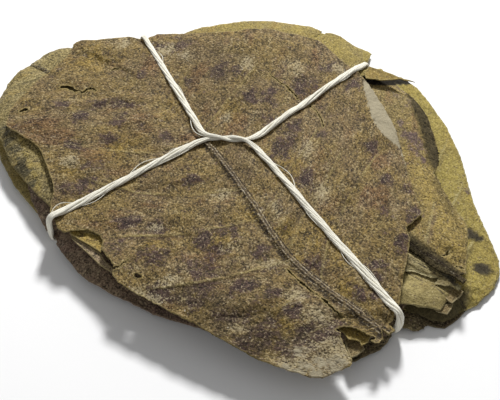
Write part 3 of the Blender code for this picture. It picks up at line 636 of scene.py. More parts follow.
# Painted black shadow: the strongest darkening marks, under raised torn scraps, turn almost black.
colour = lay(times(step(shade_and_patch_at, 1.05, 1.5), 0.9), colour, PAINTED_BLACK_SHADOW)
fine = scaled(flecks, 6.0, scaled(motes, 4.0, -5.0))
fine = plus(fine, scaled(mottle, 4.4, -2.2), scaled(grit, 6.4, -3.2))
fine = calc("MAXIMUM", scaled(fine, given["Speckle"], 0.97), 0.2)
fine = put(leaf_skin, "ShaderNodeCombineColor", {0: fine, 1: fine, 2: fine}).outputs[0]
colour = lay(1.0, colour, fine, "MULTIPLY")
clear = times(vein_on, step(crusts, 0.36, 0.54), clear_of_shade_marks)
vein_near = plus(vein_off, scaled(blots, 1.6, -0.8))
vein_line = times(step(calc("ABSOLUTE", vein_near), 0.85, 0.25), scaled(step(grit, 0.38, 0.56), 0.6, 0.4),
                  clear, given["Vein Strength"])
vein_shade = times(step(vein_near, -0.3, -0.9), clear, step(vein_near, -3.0, -1.2), 0.4)
colour = lay(vein_shade, colour, given["Stain"])
colour = lay(vein_line, colour, given["Vein"])
net = put(leaf_skin, "ShaderNodeTexVoronoi", {"Vector": drawn_out, "Scale": 0.33},
          feature="DISTANCE_TO_EDGE").outputs["Distance"]
net_line = times(step(net, 0.09, 0.0), step(crusts, 0.42, 0.58), clear_of_shade_marks)
colour = lay(times(net_line, 0.22), colour, given["Vein"])
crust = plus(crusts, times(scurf_at, 0.30), scaled(given["Scurf Cover"], 0.4, -0.2))
crust = step(crust, 0.48, 0.8)
dust = step(scaled(crust, 0.16, motes), 0.62, 0.72)
colour = lay(times(dust, 0.36), colour, given["Scurf"])
colour = lay(times(dots(1.15, times(crust, 0.16)), 0.6), colour, PALE_DOT_TONE)
pale = scaled(crust, 0.15, scaled(film, 0.04, grit))
pale = plus(pale, scaled(flecks, 0.3, -0.15))
pale = step(scaled(given["Speckle"], 0.05, pale), 0.63, 0.72)
colour = lay(times(pale, step(shade_and_patch_at, 0.9, 0.3), 0.6), colour, PALE_SPECK_TONE)
bare = scaled(motes, 0.8, calc("SUBTRACT", bare_at, 0.4))
bare = scaled(mottle, 0.9, calc("SUBTRACT", bare, 0.45))
colour = lay(times(step(bare, 0.30, 0.55), 0.9), colour, given["Bare"])
rib_thin = scaled(calc("DIVIDE", along, given["Leaf Length"]), -0.62, 1.0)
rib_off = calc("DIVIDE", reach, times(given["Rib Half"], rib_thin))
# Painted shade in the furrows beside the midrib, reaching further on the side away from the lamp.
shade_off = times(rib_off, scaled(calc("GREATER_THAN", off_rib, 0.0), -0.4, 1.0))
furrow_shade = times(step(shade_off, 2.0, 1.1), step(rib_off, 0.5, 0.95), step(blots, 0.60, 0.46),
               step(specks, 0.60, 0.46), rib_on, 0.9)
colour = lay(furrow_shade, colour, FURROW_SHADE_TONE)
ridge_tone = times(step(rib_off, 1.0, 0.4), step(motes, 0.32, 0.55), rib_on, 0.85)
colour = lay(ridge_tone, colour, given["Rib"])
# Painted light along the midrib: pale streaks as highlights on its fine ridges, dark streaks as shade in the
# grooves between.
rib_wave = calc("SINE", scaled(off_rib, 4.6, times(blots, 11.0)))
rib_part = times(step(rib_off, 1.8, 1.2), times(given["Speckle"], 1.7), rib_on)
rib_groove_shade = times(step(rib_wave, 0.0, -0.6), step(grit, 0.62, 0.46), rib_part)
colour = lay(rib_groove_shade, colour, RIB_GROOVE_SHADE_TONE)
rib_highlight = times(step(rib_wave, 0.55, 0.9), step(specks, 0.46, 0.6), rib_part, 0.9)
colour = lay(rib_highlight, colour, RIB_HIGHLIGHT_TONE)
# Painted highlight: a thin pale line along the blade's rim, left out where it is bare or darkened.
rim_highlight = times(step(rim, 0.7, 0.1), 0.5, clear_of_shade_marks, step(bare_at, 0.4, 0.1))
colour = lay(rim_highlight, colour, given["Vein"])
height = scaled(flecks, 0.3, times(motes, 0.6))
for part, part_height in ((mottle, 2.6), (vein_line, 0.5), (net_line, 0.25), (furrow_shade, -0.6)):
    height = scaled(part, part_height, height)
rough = scaled(flecks, -0.25, scaled(shade_and_patch_at, 0.3, 0.80))
put(leaf_skin, "NodeGroupOutput", {"Color": colour, "Roughness": rough, "Height": height})


def leaf_finish(blade, seat, tones):
    """The dull, mottled skin of one dried blade."""
    skin = bpy.data.materials.new(blade.name + "_skin")
    skin.use_nodes = True
    tree = skin.node_tree
    shader = tree.nodes["Principled BSDF"]
    group = put(tree, "ShaderNodeGroup", node_tree=leaf_skin)
    values = {"Leaf Length": seat["length"], "Seed": SEED_STEP * len(bpy.data.materials), **tones}
    for label, value in values.items():
        group.inputs[label].default_value = (*value, 1) if isinstance(value, tuple) else value
    bump = put(tree, "ShaderNodeBump", {"Height": group.outputs["Height"], "Strength": 0.8,
                                        "Distance": 0.0006})
    tree.links.new(group.outputs["Color"], shader.inputs["Base Color"])
    tree.links.new(group.outputs["Roughness"], shader.inputs["Roughness"])
    tree.links.new(bump.outputs["Normal"], shader.inputs["Normal"])
    shader.inputs["Specular IOR Level"].default_value = 0.2
    blade.data.materials.append(skin)


bottom_seat = dict(base=(-89.5, -20.5), heading=12, length=196, bend=3, veins=5)
bottom = dried_blade("leaf_01", bottom_seat, levels=2, relief=0.5, tears=([(-3, 0, 4.6), (-3, 6, 4.6)],))
bottom_tones = {"Body": (0.13, 0.10, 0.05), "Second": (0.17, 0.135, 0.065), "Warm": (0.10, 0.07, 0.035),
                "Vein": (0.22, 0.18, 0.10)}
leaf_finish(bottom, bottom_seat, bottom_tones)

# The light yellow-olive leaf that shows all along the outer right of the stack: a smooth and finely
# veined dried blade with a few purple spots, dark worm patches, painted shade near its stalk and a
# painted black shadow under the torn ribbon. The string holds it under the others.
outer_seat = dict(base=(-99, -30), heading=-9, length=197, bend=-4, veins=9)
outer = dried_blade(
    "leaf_02", outer_seat, relief=0.6, rib=0.2, tears=([(-2, -3, 7.0), (-2, 3, 7.0)],),
    stains=((55.8, -42, 1.8), (58.8, -43, 1.5), (53.8, -41, 1.5), (36, -29, 2.5)),
    # Two dark worm patches, a painted black shadow under the torn ribbon, painted shade near the stalk and
    # one small dark spot.
    shade_and_patches=(band(0.5, 1.0, (18.4, -17.2, 2.4), (17.0, -19.0, 3.4), (15.6, -20.2, 2.6)),
           band(0.5, 1.0, (37.2, -28.2, 1.0), (34.0, -27.0, 2.7), (31.2, -28.2, 2.2)),
           band(1.0, 1.7, (134, -47, 3.0), (130, -50, 3.2), (127.2, -54, 3.0), (125.2, -57.5, 2.5),
                (123.4, -60.5, 1.4)),
           band(3.0, 0.85, (30, 14, 7), (10, 16, 6), (8, 6, 5), (9.5, -2, 3.5), (11, -6, 1.5)),
           (27, -20, 3, 0.5)))
leaf_finish(outer, outer_seat, {
    "Body": (0.325, 0.255, 0.062), "Second": (0.28, 0.215, 0.052), "Warm": (0.31, 0.23, 0.048),
    "Stain": (0.10, 0.065, 0.05), "Vein": (0.46, 0.40, 0.20), "Shade And Patch": (0.060, 0.050, 0.031),
    "Stain Cover": 0.0, "Scurf Cover": 0.0, "Speckle": 0.23, "Vein Strength": 0.9, "Rib Half": 0.3})

# The yellow-olive leaf at the outer left, of which a strip shows down the left side. It is a plain
# dried blade, pressed flat between the leaves over and under it.
third_seat = dict(base=(-80, -2), heading=9, length=214, bend=5, veins=5)
third = dried_blade("leaf_03", third_seat, levels=2, relief=0.5)
leaf_finish(third, third_seat, {
    "Body": (0.33, 0.255, 0.09), "Second": (0.29, 0.225, 0.085), "Warm": (0.30, 0.215, 0.055),
    "Vein": (0.42, 0.35, 0.15), "Stain Cover": 0.1, "Scurf Cover": 0.1, "Speckle": 0.3})

# The dark red-brown leaf at the lower left: a dull and speckled dried blade with a torn base, pressed
# flat between the leaves over and under it.
dark_seat = dict(base=(-87, -9), heading=9, length=198, bend=4, veins=6)
dark = dried_blade("leaf_04", dark_seat, relief=0.6, tears=([(-2, -4, 9.0), (-2, 2, 9.0)],))
dark_tones = {
    "Body": (0.17, 0.112, 0.082), "Second": (0.20, 0.14, 0.09), "Warm": (0.14, 0.085, 0.06),
    "Stain": (0.07, 0.042, 0.036), "Vein": (0.27, 0.20, 0.13), "Stain Cover": 0.3,
    "Scurf Cover": 0.35, "Speckle": 0.5}
leaf_finish(dark, dark_seat, dark_tones)

# Two khaki dried leaf bases at the lower right, held under the mottled leaf: the lower one broken
# off square, the upper one with a pale curved edge, a short grey stalk and painted shadow on it.
square_seat = dict(base=(-99, -29), heading=17, length=200, bend=-5, veins=4)
square = dried_blade("leaf_05", square_seat, relief=0.45, rib=0.0)
leaf_finish(square, square_seat, {
    "Body": (0.34, 0.272, 0.105), "Second": (0.29, 0.228, 0.088), "Warm": (0.25, 0.18, 0.06),
    "Vein": (0.40, 0.34, 0.17), "Stain Cover": 0.0, "Scurf Cover": 0.0, "Speckle": 0.18,
    "Rib Half": 0.2})
curved_seat = dict(base=(-87, -32), heading=13, length=186, bend=4, veins=4,
                   midrib=((-5, -0.7), (7, -0.6), (60, 2), (186, 2)))
curved = dried_blade(
    "leaf_06", curved_seat, relief=0.4, rib=0.35, rib_width=1.2,
    tears=([(-5.6, -4, 3.9), (-5.6, 4, 3.9)],
           {"side": 1, "line": ((7.2, 0.8), (8.7, 1.7), (11.6, 3.0), (15.8, 3.7), (19.6, 6.1), (26, 9.5))}),
    bare=(*run_of(((20, 6.0), (15.8, 3.4), (11.6, 2.7), (8.7, 1.4)), 0.8), (-1.4, -0.7, 1.6, 1.6)),
    # Painted shadow under the mottled leaf's torn edge, then the grey stalk's own colour.
    shade_and_patches=(band(3.0, 0.85, (26, -6.5, 3.0), (18.6, -4.6, 2.4), (14.2, -3.8, 2.2), (10, -3.2, 1.8)),
           band(0.8, 0.9, (9.5, -2.2, 0.9), (4, -1.5, 1.6), (0.0, -0.8, 1.8))))
leaf_finish(curved, curved_seat, {
    "Body": (0.37, 0.305, 0.14), "Second": (0.32, 0.255, 0.115), "Warm": (0.27, 0.20, 0.08),
    "Vein": (0.42, 0.37, 0.2), "Rib": (0.34, 0.28, 0.13), "Stain Cover": 0.0, "Scurf Cover": 0.0,
    "Speckle": 0.28, "Bare": (0.47, 0.41, 0.22), "Shade And Patch": (0.080, 0.070, 0.048), "Rib Half": 0.3})

# The mottled yellow-brown and purple leaf at the right: a crumpled dried blade with an ochre base with
# cracks. Its broad midrib and its outer margin, which ends in a notch, are painted dark as shade, and
# painted black shadow lies under the torn ribbon. It lies over the khaki bases and is torn off along
# both its sides near the stalk.
mottled_seat = dict(base=(-88, -34), heading=5, length=186, bend=2, veins=7,
                    midrib=((-6, -0.5), (10, -0.6), (30, 0.5), (90, 2), (186, 0)))
mottled = dried_blade(
    "leaf_07", mottled_seat, relief=1.0, rib=0.35, rib_width=2.0,
    tears=(
        {"side": -1, "line": ((13, -34), (15, -23.5), (21.2, -25.9), (26.7, -28.4), (35.5, -33.4),
                              (41, -36.6), (44.3, -37.6), (45.6, -42.2), (48.9, -47.7), (54.9, -53.6),
                              (62.3, -59.5), (72, -68), (78, -76))},
        {"side": 1, "line": ((-9, 0.8), (0, 0.8), (4, 1.0), (6.5, 1.6), (9, 2.4), (12, 2.8), (16, 2.4),
                             (20.5, 2.2), (25, 2.4), (40, 4), (44, 14))},
        [(-6.8, -4, 6.0), (-6.8, 4, 6.0)],
        [(13.4, -3.6, 0.25), (12.2, -5.6, 0.45), (12.6, -7.9, 0.2)],
        [(6.2, -4.0, 0.3), (5.5, -4.6, 0.35), (3.6, -5.4, 0.3)]),
    stains=((86.8, -63.6, 2.2), (68.1, -46.6, 3.6), (63.9, -48.4, 3.5), (59.1, -45.9, 3.5),
            (60.5, -40.7, 3), (56.8, -40.9, 3), (72.2, -49.4, 2.6), (51, -39.8, 2.5)),
    ochre=((60.9, -38.4, 3), (56.6, -36.5, 4), (52.2, -33.9, 4), (46.3, -31.2, 5), (41.8, -32, 3),
           (37.4, -25.4, 6), (30.3, -21.6, 6), (23.5, -17.5, 6), (20.6, -10.6, 6), (15.7, -10.1, 6),
           (11, -9.2, 5), (9, -5.5, 3)),
    # Painted shade on the outer margin band and along the broad midrib, a soft darker band along the torn
    # side, and painted black shadow under the torn ribbon.
    shade_and_patches=(
        band(1.0, 1.0, (84, -71, 2.0), (80, -69, 2.4), (75, -64.8, 3.0), (66.4, -58.9, 2.9),
             (59.9, -53.8, 3.1), (53, -48.0, 3.1), (47.5, -42.3, 2.3)),
        band(1.8, 1.0, (32, 0.5, 3.6), (23, 0.8, 3.8), (16, 1.0, 4.2), (9.9, 0.2, 3.6), (4, -0.6, 2.8),
             (-4, -0.6, 2.4)),
        band(3.0, 0.5, (41, -35, 2.4), (33, -30, 2.6), (26, -25.5, 2.4), (20, -22, 1.6)),
        band(1.0, 1.7, (108, -61.5, 3.2), (104, -62.6, 3.4), (100.2, -64.0, 3.2), (97.0, -66.6, 2.8),
             (94.5, -70.2, 2.2))))
# The dark rib tone is painted shade on the broad midrib.
leaf_finish(mottled, mottled_seat, {
    "Body": (0.235, 0.170, 0.050), "Second": (0.203, 0.148, 0.050), "Warm": (0.185, 0.110, 0.044),
    "Stain": (0.10, 0.062, 0.055), "Vein": (0.34, 0.28, 0.13), "Rib": (0.075, 0.056, 0.03),
    "Stain Cover": 0.18, "Scurf Cover": 0.12, "Speckle": 0.42, "Shade And Patch": (0.062, 0.048, 0.022),
    "Rib Half": 0.3})

# The yellow-olive leaf at the far right of the stack: a dried blade torn across near its middle, with
# a notch in the torn edge, held between the mottled leaf and the olive one.
torn_seat = dict(base=(-90, -33), heading=-0.7, length=189, veins=6)
torn = dried_blade("leaf_08", torn_seat, levels=2, relief=0.5, tears=(
    [(147.9, -59.5, 1.2), (146.7, -56, 1.0), (146.8, -53.5, 0.6)],))
torn_tones = {
    "Body": (0.285, 0.217, 0.053), "Second": (0.26, 0.20, 0.060), "Warm": (0.255, 0.175, 0.042),
    "Vein": (0.38, 0.31, 0.13), "Stain Cover": 0.05, "Scurf Cover": 0.0, "Speckle": 0.3}
leaf_finish(torn, torn_seat, torn_tones)

# The olive leaf under the top one, which shows all along the left and the far end, in places with
# fine dark specks: a dried blade that the string presses down through the top leaf.
olive_seat = dict(base=(-78, 0), heading=6.5, length=213, bend=-3, veins=7)
olive = dried_blade(
    "leaf_09", olive_seat, relief=0.6,
    stains=((181, 37.8, 4), (170.5, 42.2, 4), (160.7, 47.1, 5), (157, 46.5, 4), (183.5, 34.5, 4),
            (176, 40, 3), (150, 50, 4), (165, 44, 3)),
    ochre=(band(1.2, 1.0, (176, 35, 1.2), (158.3, 43, 1.0), (144, 49.4, 1.0)),
           band(3.0, 0.6, (168, 34, 2.5), (150, 41, 2.5))))
olive_tones = {
    "Body": (0.25, 0.195, 0.075), "Second": (0.225, 0.175, 0.07), "Warm": (0.27, 0.19, 0.05),
    "Stain": (0.06, 0.052, 0.028), "Vein": (0.34, 0.28, 0.12), "Ochre": (0.33, 0.25, 0.075),
    "Stain Cover": 0.2, "Scurf Cover": 0.3, "Speckle": 0.5}
leaf_finish(olive, olive_seat, olive_tones)

# The large top leaf, laid with its underside up: khaki-brown with purple-brown blotches, pale scurf
# and worm marks, a midrib raised between two furrows painted dark as shade, torn holes and a torn
# base. The string runs over it both ways.
top_seat = dict(
    base=(-88, 4), heading=0, length=214, rib_end=132,
    midrib=((0, 1.5), (9.6, 2.9), (17.7, 4.5), (28.3, 6.1), (35.5, 7.1), (44.4, 7.9), (53.8, 7.4),
            (67.8, 4.4), (82.7, 0.6), (93.8, -1.4), (106.1, -3.8), (119.9, -5.6), (150, -6), (214, 2)),
    vein_lines=(
        (0.5, ((122, -5), (127.2, 13.1), (131.1, 18.7), (138, 25.3), (146.1, 31), (152.5, 35.5),
               (162, 41))),
        (0.9, ((89, 0), (93.6, 7.5), (97.7, 14.7), (102.6, 20.3), (109.3, 26.6), (115.7, 33.2),
               (123.4, 38.3), (130.2, 42.2), (140, 47))),
        (1.1, ((71, 4), (74.3, 9.1), (77.9, 17.6), (82.5, 26.7), (87.6, 34.7), (93, 42.5), (99.5, 50.1),
               (105.8, 58.2))),
        (0.9, ((48, 8), (50.5, 12.3), (52.5, 18.2), (57.3, 31.6), (62.2, 41.3), (68.1, 51.2), (73.1, 58.5))),
        (0.7, ((34, 7), (35.1, 14.1), (34.2, 26.5), (36.9, 35.5), (39.8, 43.8))),
        (0.3, ((150, -5), (158, 9), (168, 19), (180, 29))),
        (0.3, ((20, 5), (19, 16), (20, 30))),
        (0.8, ((124, -6), (126.2, -11.3), (128.8, -19.7), (132.5, -29), (135.7, -38.2), (142, -52))),
        (0.3, ((98, -2), (103, -14), (109, -28), (115, -42), (121, -58))),
        (0.8, ((72, 3), (78.5, -13.8), (84.6, -23.1), (86.7, -30.6), (91.7, -41.4), (96.9, -51.9),
               (104, -64))),
        (0.5, ((52, 8), (56.1, -0.1), (62.2, -10.9), (64.5, -17.3), (70, -30), (78, -46))),
        (0.8, ((33, 7), (35.1, 4.5), (40, -1.5), (45, -7.8), (49.5, -15.2), (56, -28), (63, -44), (68, -58))),
        (0.3, ((150, -6), (155, -18), (162, -32), (168, -44)))))
top = dried_blade(
    "leaf_10", top_seat, relief=1.0, rib=0.95, rib_width=1.2, quilt=0.5, worn=0.35, lifted=False,
    tears=(
        [(192.3, 20.6, 0.75), (190.1, 18.2, 1.2), (187, 17.6, 0.85), (185.6, 17.4, 0.5)],
        [(184.9, 18.2, 0.35), (184.8, 16.0, 0.5), (182.4, 15.8, 0.45), (182.6, 13.3, 0.55),
         (181.7, 11.6, 0.65), (179.3, 10.5, 0.5)],
        [(190.6, 43.3, 1.0), (189.6, 41.2, 0.95)],
        [(186.3, -3.1, 0.55), (186.4, -5.0, 0.6), (184.8, -5.8, 0.5)],
        [(81.6, 58.7, 0.9), (80.4, 57.9, 0.7)],
        [(135.4, -54.9, 0.1), (131.8, -54.3, 0.3), (127.9, -54.6, 0.3), (124.5, -56.2, 0.4),
         (119.2, -55.0, 0.35), (114.8, -54.2, 0.15)],
        [(110.8, -56.6, 0.1), (104, -55.8, 0.2), (99.4, -54.8, 0.22), (95, -51.4, 0.1)],
        [(91, 66, 0.5), (89.4, 64.0, 0.5), (89.1, 61.1, 0.3), (89.6, 57.1, 0.15)],
        [(46, 12.5, 0.1), (41, 12.2, 0.35), (37.1, 12.1, 0.6), (34, 11.7, 0.3), (31.5, 11.3, 0.15)],
        [(31, 11.0, 0.15), (26.5, 10.7, 0.55), (23.2, 10.6, 0.5), (19, 10.1, 0.3), (16, 9.9, 0.1)],
        [(-6, -3, 6.5), (-6, 5, 6.5)],
        [(14.2, 14.9, 0.9), (12.6, 12.9, 1.5), (10.6, 12.2, 2.0), (8.6, 11.4, 2.4), (5.6, 9.6, 1.6),
         (3.4, 7.6, 1.0)],
    ),
    stains=(
        (140.9, 39.5, 4), (133.5, 48.2, 6), (137.7, 55.2, 4), (148.2, 24.7, 4), (155.2, 37.4, 4),
        (182.7, 49.4, 3), (162, 7.8, 5), (170.3, 16.2, 4), (153.9, 15.9, 4), (181.3, 26.9, 4),
        (169.7, 26.1, 4), (150.2, -38.2, 6), (154, -21.7, 4), (128.1, -38.1, 5), (177.5, -36, 6),
        (132, 6.3, 4), (171.7, -10.1, 3), (183.9, -27.2, 5), (145.1, -43.1, 4), (101.5, -39.4, 5),
        (96.1, -27, 6), (76.7, -25.6, 6), (112.9, -34.8, 4), (105.9, 12.6, 4), (75.2, 19.3, 5),
        (77.4, 28.3, 6), (59.3, 15.1, 4), (118.6, -61.5, 6), (123.4, -44.3, 5), (107.6, -79.8, 4),
        (73.3, -59.6, 4), (91.7, -47.7, 3), (122, -78, 4), (46.5, -54.2, 3), (35.2, -46.9, 4),
        (33.1, -42.8, 4), (27.1, -31.8, 5), (42.5, -38, 3), (55.1, -50.6, 3), (23.7, -14.3, 5),
        (16.8, -8.5, 4), (104.8, 45.4, 5), (95.6, 39.3, 5), (97.4, 58.7, 5), (84.7, 48.3, 6),
        (67.4, 37.3, 7), (68.8, 57.2, 6), (59.4, 43.3, 6), (71.3, 26.3, 4), (50.4, 31, 6),
        (40.5, 26.8, 5), (29.8, 23.3, 5), (40.5, 2.4, 4), (19.8, -0.3, 4), (18.3, 24.6, 8),
        (19.4, 33.7, 6), (30.4, 39, 7), (15.2, 17.5, 6), (43.5, 43.3, 6), (58.7, 50.1, 5),
        (32.5, 47.1, 6)),
    scurf=(
        (52.4, 15.9, 4), (34.5, 17.5, 5), (22.8, 16.1, 6), (15.4, 38.7, 6), (9.8, 19.8, 7),
        (5.9, 20.5, 8), (13.5, 34.5, 6), (11.6, 26.2, 7), (38.6, 44.1, 4), (69, 61, 5),
        (74.9, 63.3, 4), (96.6, 38.4, 4), (71.4, 51.5, 5), (91.9, 7.5, 4), (89.6, -37.6, 4),
        (66.2, -24.3, 5), (72.8, -4.6, 4), (68.3, 23.2, 4), (131.1, -66, 5), (119.1, -82.2, 4),
        (87.6, -34.6, 4), (178.7, -29.1, 5), (169.1, -32.8, 4), (197.6, -18.2, 4), (124, -21, 3),
        (148.8, 44.6, 4), (147, -51, 5)),
    ochre=(
        (139.2, 25.7, 8), (143.2, 45.4, 5), (84.6, -24.5, 6), (75.2, 6, 4), (88.7, 45.3, 4),
        (75.3, 23.3, 4), (28.9, 26.2, 5), (52.3, -15.4, 6), (46.3, 5.7, 5), (24.9, 0.7, 6),
        (199.2, 0.1, 10), (145.2, -5.8, 6), (126.8, -24.9, 6), (50, -5, 6), (37, -8, 6), (60, 2, 5)),
    rust=(
        (176.2, 42, 8), (165.6, 39.2, 8), (175.8, -17.2, 6), (156.8, -31.6, 6), (146.6, 32.6, 6),
        (124.1, -0.8, 6), (117.4, -22.4, 6), (111, -64, 5), (65.3, -56.7, 4), (51.4, -37.8, 5)),
    bare=(
        band(4.0, 0.92, (105, -87, 1.2), (99.6, -84.6, 2.4), (94.6, -82.6, 3.4), (88.9, -79.6, 4.2),
             (83.6, -76.2, 4.6), (78.2, -73.4, 4.2), (74.0, -71.4, 3.0), (69, -69.6, 1.4)),
        band(4.0, 0.8, (69, -70.5, 0.6), (61, -67.0, 0.6), (54, -62, 0.2)),
        (8.3, 29.4, 5, 0.55), (10.3, 35.1, 4, 0.55), (5, 24.9, 5, 0.55), (15.9, 32.5, 4, 0.5),
        (2.5, 27.5, 4, 0.6), (5.0, 33.5, 4, 0.6), (9.5, 38.5, 4, 0.55), (14, 40, 3, 0.5)),
    # Broad soft spots that darken parts of the blade and dim its veins and pale specks.
    shade_and_patches=(
        (62, 50, 7, 0.5), (52, 44, 7, 0.55), (42, 48, 7, 0.55), (58, 32, 5, 0.35), (35, 44, 7, 0.5),
        (36, 31, 6, 0.4), (22, 30, 6, 0.4), (50, 53, 5, 0.5), (26, 42, 5, 0.5), (145, 15, 6, 0.3),
        (166.4, -34.6, 9, 0.44), (161.7, -44.6, 9, 0.44), (152.1, -51.7, 9, 0.42),
        (153.0, -25.9, 9, 0.4), (145.6, -35.7, 9, 0.4), (135.3, -43.7, 8, 0.34),
        (138.1, -19.9, 8, 0.34), (129.5, -30.1, 8, 0.32), (178.9, -19.6, 6, 0.32),
        (54.8, 42.8, 6, 0.34), (44.6, 39.4, 7, 0.4), (34.7, 34.8, 7, 0.4), (40.1, 48.3, 6, 0.35),
        (31.4, 43.5, 6, 0.35), (26.6, 34.9, 7, 0.35), (21.2, 27.8, 6, 0.4), (13.5, 25.7, 6, 0.35),
        (18.4, 36.2, 6, 0.3), (73.9, 58.1, 6, 0.25), (62.0, 55.1, 6, 0.3)))
leaf_finish(top, top_seat, {
    "Body": (0.180, 0.123, 0.038), "Second": (0.163, 0.111, 0.045), "Warm": (0.148, 0.081, 0.030),
    "Stain": (0.053, 0.029, 0.025), "Ochre": (0.215, 0.142, 0.027), "Vein": (0.33, 0.26, 0.10),
    "Rib": (0.15, 0.11, 0.062), "Stain Cover": 0.3, "Scurf Cover": 0.3, "Speckle": 0.55,
    "Vein Strength": 0.7, "Bare": (0.35, 0.305, 0.205), "Rib Half": 1.5})

# Torn scraps of blade near where they came away: a pointed ribbon that stands out over the torn leaf,
# two strips in the top leaf's torn bay, two under its torn base, two ragged leaf ends under the khaki
# leaf, a dark one at the string's left and one under the stack. Each is a thin curled sheet, placed
# by its outline and level. The ribbon and the two strips don't quite touch what is beside them.
END_TONES = {"Body": (0.25, 0.195, 0.085), "Second": (0.21, 0.16, 0.07), "Warm": (0.19, 0.135, 0.055),
             "Vein": (0.40, 0.34, 0.19), "Stain Cover": 0.05, "Scurf Cover": 0.0, "Speckle": 0.35}
SCRAPS = (
    ("scrap_ribbon", 14.9, torn_seat, torn_tones, 0.5, (
        (23.2, -91.5), (18.7, -93.2), (12.1, -95.9), (8, -96.8), (5, -98.7), (1.9, -99.9),
        (4.8, -97.9), (7.8, -96), (10, -92.6), (12.8, -88.7), (15.4, -87), (18, -84.3),
        (21.5, -86.7))),
    ("scrap_end_upper", 6.6, square_seat, END_TONES, 0.8, (
        (-86.7, -25.8), (-85.2, -29.4), (-86.4, -31.6), (-88, -33.5), (-90.1, -33.3),
        (-90.9, -30.9), (-91, -28.3), (-91.1, -25.8), (-89.7, -25.4))),
    ("scrap_end_lower", 5.2, square_seat, END_TONES, 0.8, (
        (-86.9, -19.3), (-88.1, -22.5), (-89.6, -24.9), (-90.9, -26.8), (-92.1, -24.8),
        (-92.9, -21.4), (-91.5, -20.4), (-89.4, -19.2))),
    ("scrap_bay", 12.6, olive_seat, {**torn_tones, "Body": (0.28, 0.23, 0.07), "Speckle": 0.5}, 0.6, (
        (30.7, 69.3), (28.7, 66.5), (24.0, 63.9), (19.8, 61.2), (16.5, 62.6), (12.8, 66.3),
        (17.0, 67.2), (23.6, 69.0), (29.0, 70.2))),
    ("scrap_margin", 11.6, olive_seat, {**olive_tones, "Body": (0.31, 0.24, 0.12),
                                        "Stain": (0.11, 0.07, 0.075), "Warm": (0.27, 0.20, 0.12),
                                        "Second": (0.30, 0.235, 0.14), "Stain Cover": 0.3}, 0.6, (
        (29.1, 69.8), (23.9, 68.9), (17.3, 67.1), (13.0, 66.3), (8.5, 67.0), (3.0, 66.6),
        (1.6, 68.0), (8.6, 69.8), (16.5, 70.1), (22.9, 70.6), (27.1, 70.7))),
    ("scrap_notch", 4.6, dark_seat, dark_tones, 0.3, (
        (45.9, 72.3), (43.1, 70.2), (39.5, 69.3), (34.2, 70.8), (32.5, 73.8), (37.4, 73.0),
        (41.4, 72.9))),
    ("scrap_base_upper", 9.0, torn_seat, {**torn_tones, "Body": (0.25, 0.19, 0.06)}, 0.6, (
        (-70.2, 17.3), (-72.5, 12.9), (-73.9, 10.0), (-78.1, 8.6), (-83.0, 8.9), (-82.9, 10.6),
        (-84.0, 12.6), (-84.0, 14.6), (-83.5, 16.1), (-81.8, 15.2), (-79.9, 16.3), (-78.6, 17.8),
        (-75.6, 17.3))),
    ("scrap_base_lower", 6.9, square_seat, {**END_TONES, "Body": (0.31, 0.26, 0.15)}, 0.5, (
        (-76.0, 17.5), (-77.5, 14.4), (-81.4, 13.4), (-84.5, 14.9), (-84.8, 16.7), (-84.8, 19.0),
        (-84.5, 20.5), (-83.9, 21.7), (-80.4, 20.2))),
    ("scrap_bottom", 0.3, bottom_seat, {**bottom_tones, "Body": (0.17, 0.135, 0.06)}, 0.15, (
        (-94.6, -19.0), (-95.0, -23.1), (-94.9, -27.3), (-94.1, -31.8), (-92.6, -38.1),
        (-90.8, -35.9), (-90.5, -30.1), (-89.7, -23.8), (-87.1, -18.0), (-88.7, -14.7),
        (-91.8, -16.5))),
)
for scrap_name, level, seat, tones, curl, outline in SCRAPS:
    scrap_shape = bmesh.new()
    scrap_shape.faces.new([scrap_shape.verts.new((x, y, level)) for x, y in outline])
    bmesh.ops.triangulate(scrap_shape, faces=scrap_shape.faces)
    for _ in range(4):
        refine(scrap_shape, scrap_shape.edges)
    scrap_shape.normal_update()
    if sum(face.normal.z for face in scrap_shape.faces) < 0:
        bmesh.ops.reverse_faces(scrap_shape, faces=scrap_shape.faces)
    scrap_rim = rim_distance(scrap_shape)
    for vert, inside in zip(scrap_shape.verts, scrap_rim):
        vert.co.z += curl * (0.7 * crumple(vert.co.x, vert.co.y, level) + 0.5 * math.exp(-inside / 1.2))
    scrap_mesh = bpy.data.meshes.new(scrap_name)
    scrap_shape.to_mesh(scrap_mesh)
    scrap_shape.free()
    spots = np.array([vert.co for vert in scrap_mesh.vertices])
    seen_along, _, seen_off = leaf_places(seat, spots)
    nothing = 0 * scrap_rim
    keep_field(scrap_mesh, "leaf_place", seen_along, seen_off, scrap_rim)
    keep_field(scrap_mesh, "leaf_more", nothing, nothing, nothing)
    keep_field(scrap_mesh, "leaf_vein", nothing + 9, nothing, nothing)
    place_points(scrap_mesh, spots)
    scrap = sheet_piece(scrap_mesh, BLADE)
    leaf_finish(scrap, seat, tones)

# The tie: one length of soft white cotton string round the stack both ways, its runs wound round
# each other once on top. It is a flat bundle of loosely laid yarns with stray fibres, follows the
# packed string's tube and lies down on the dressed leaves. Its lengths are in millimetres too.
STRING_STEP = 0.9
TOP_RUNS = 9.0
OWN_RUN = 15.0
PAIR_REACH = 3.4
CROSS_REACH = 3.2
SEAT_SHARE = 0.62
DRAWN_SHARE = 0.2
LEAST_GIRTH = 0.55
MOST_GIRTH = 1.3
MOST_DROP = 3.0
FLOOR_GAP = 0.03
YARNS = 8
YARN_PITCH = 48.0
YARN_SIDES = 7
tube = bmesh.new()
tube.from_mesh(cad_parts["tie_string"].data)
bmesh.ops.remove_doubles(tube, verts=tube.verts, dist=1e-6)
tube.normal_update()


def ring_middle(ring):
    """The middle of a ring of vertices."""
    return sum((vert.co for vert in ring), Vector()) / len(ring)


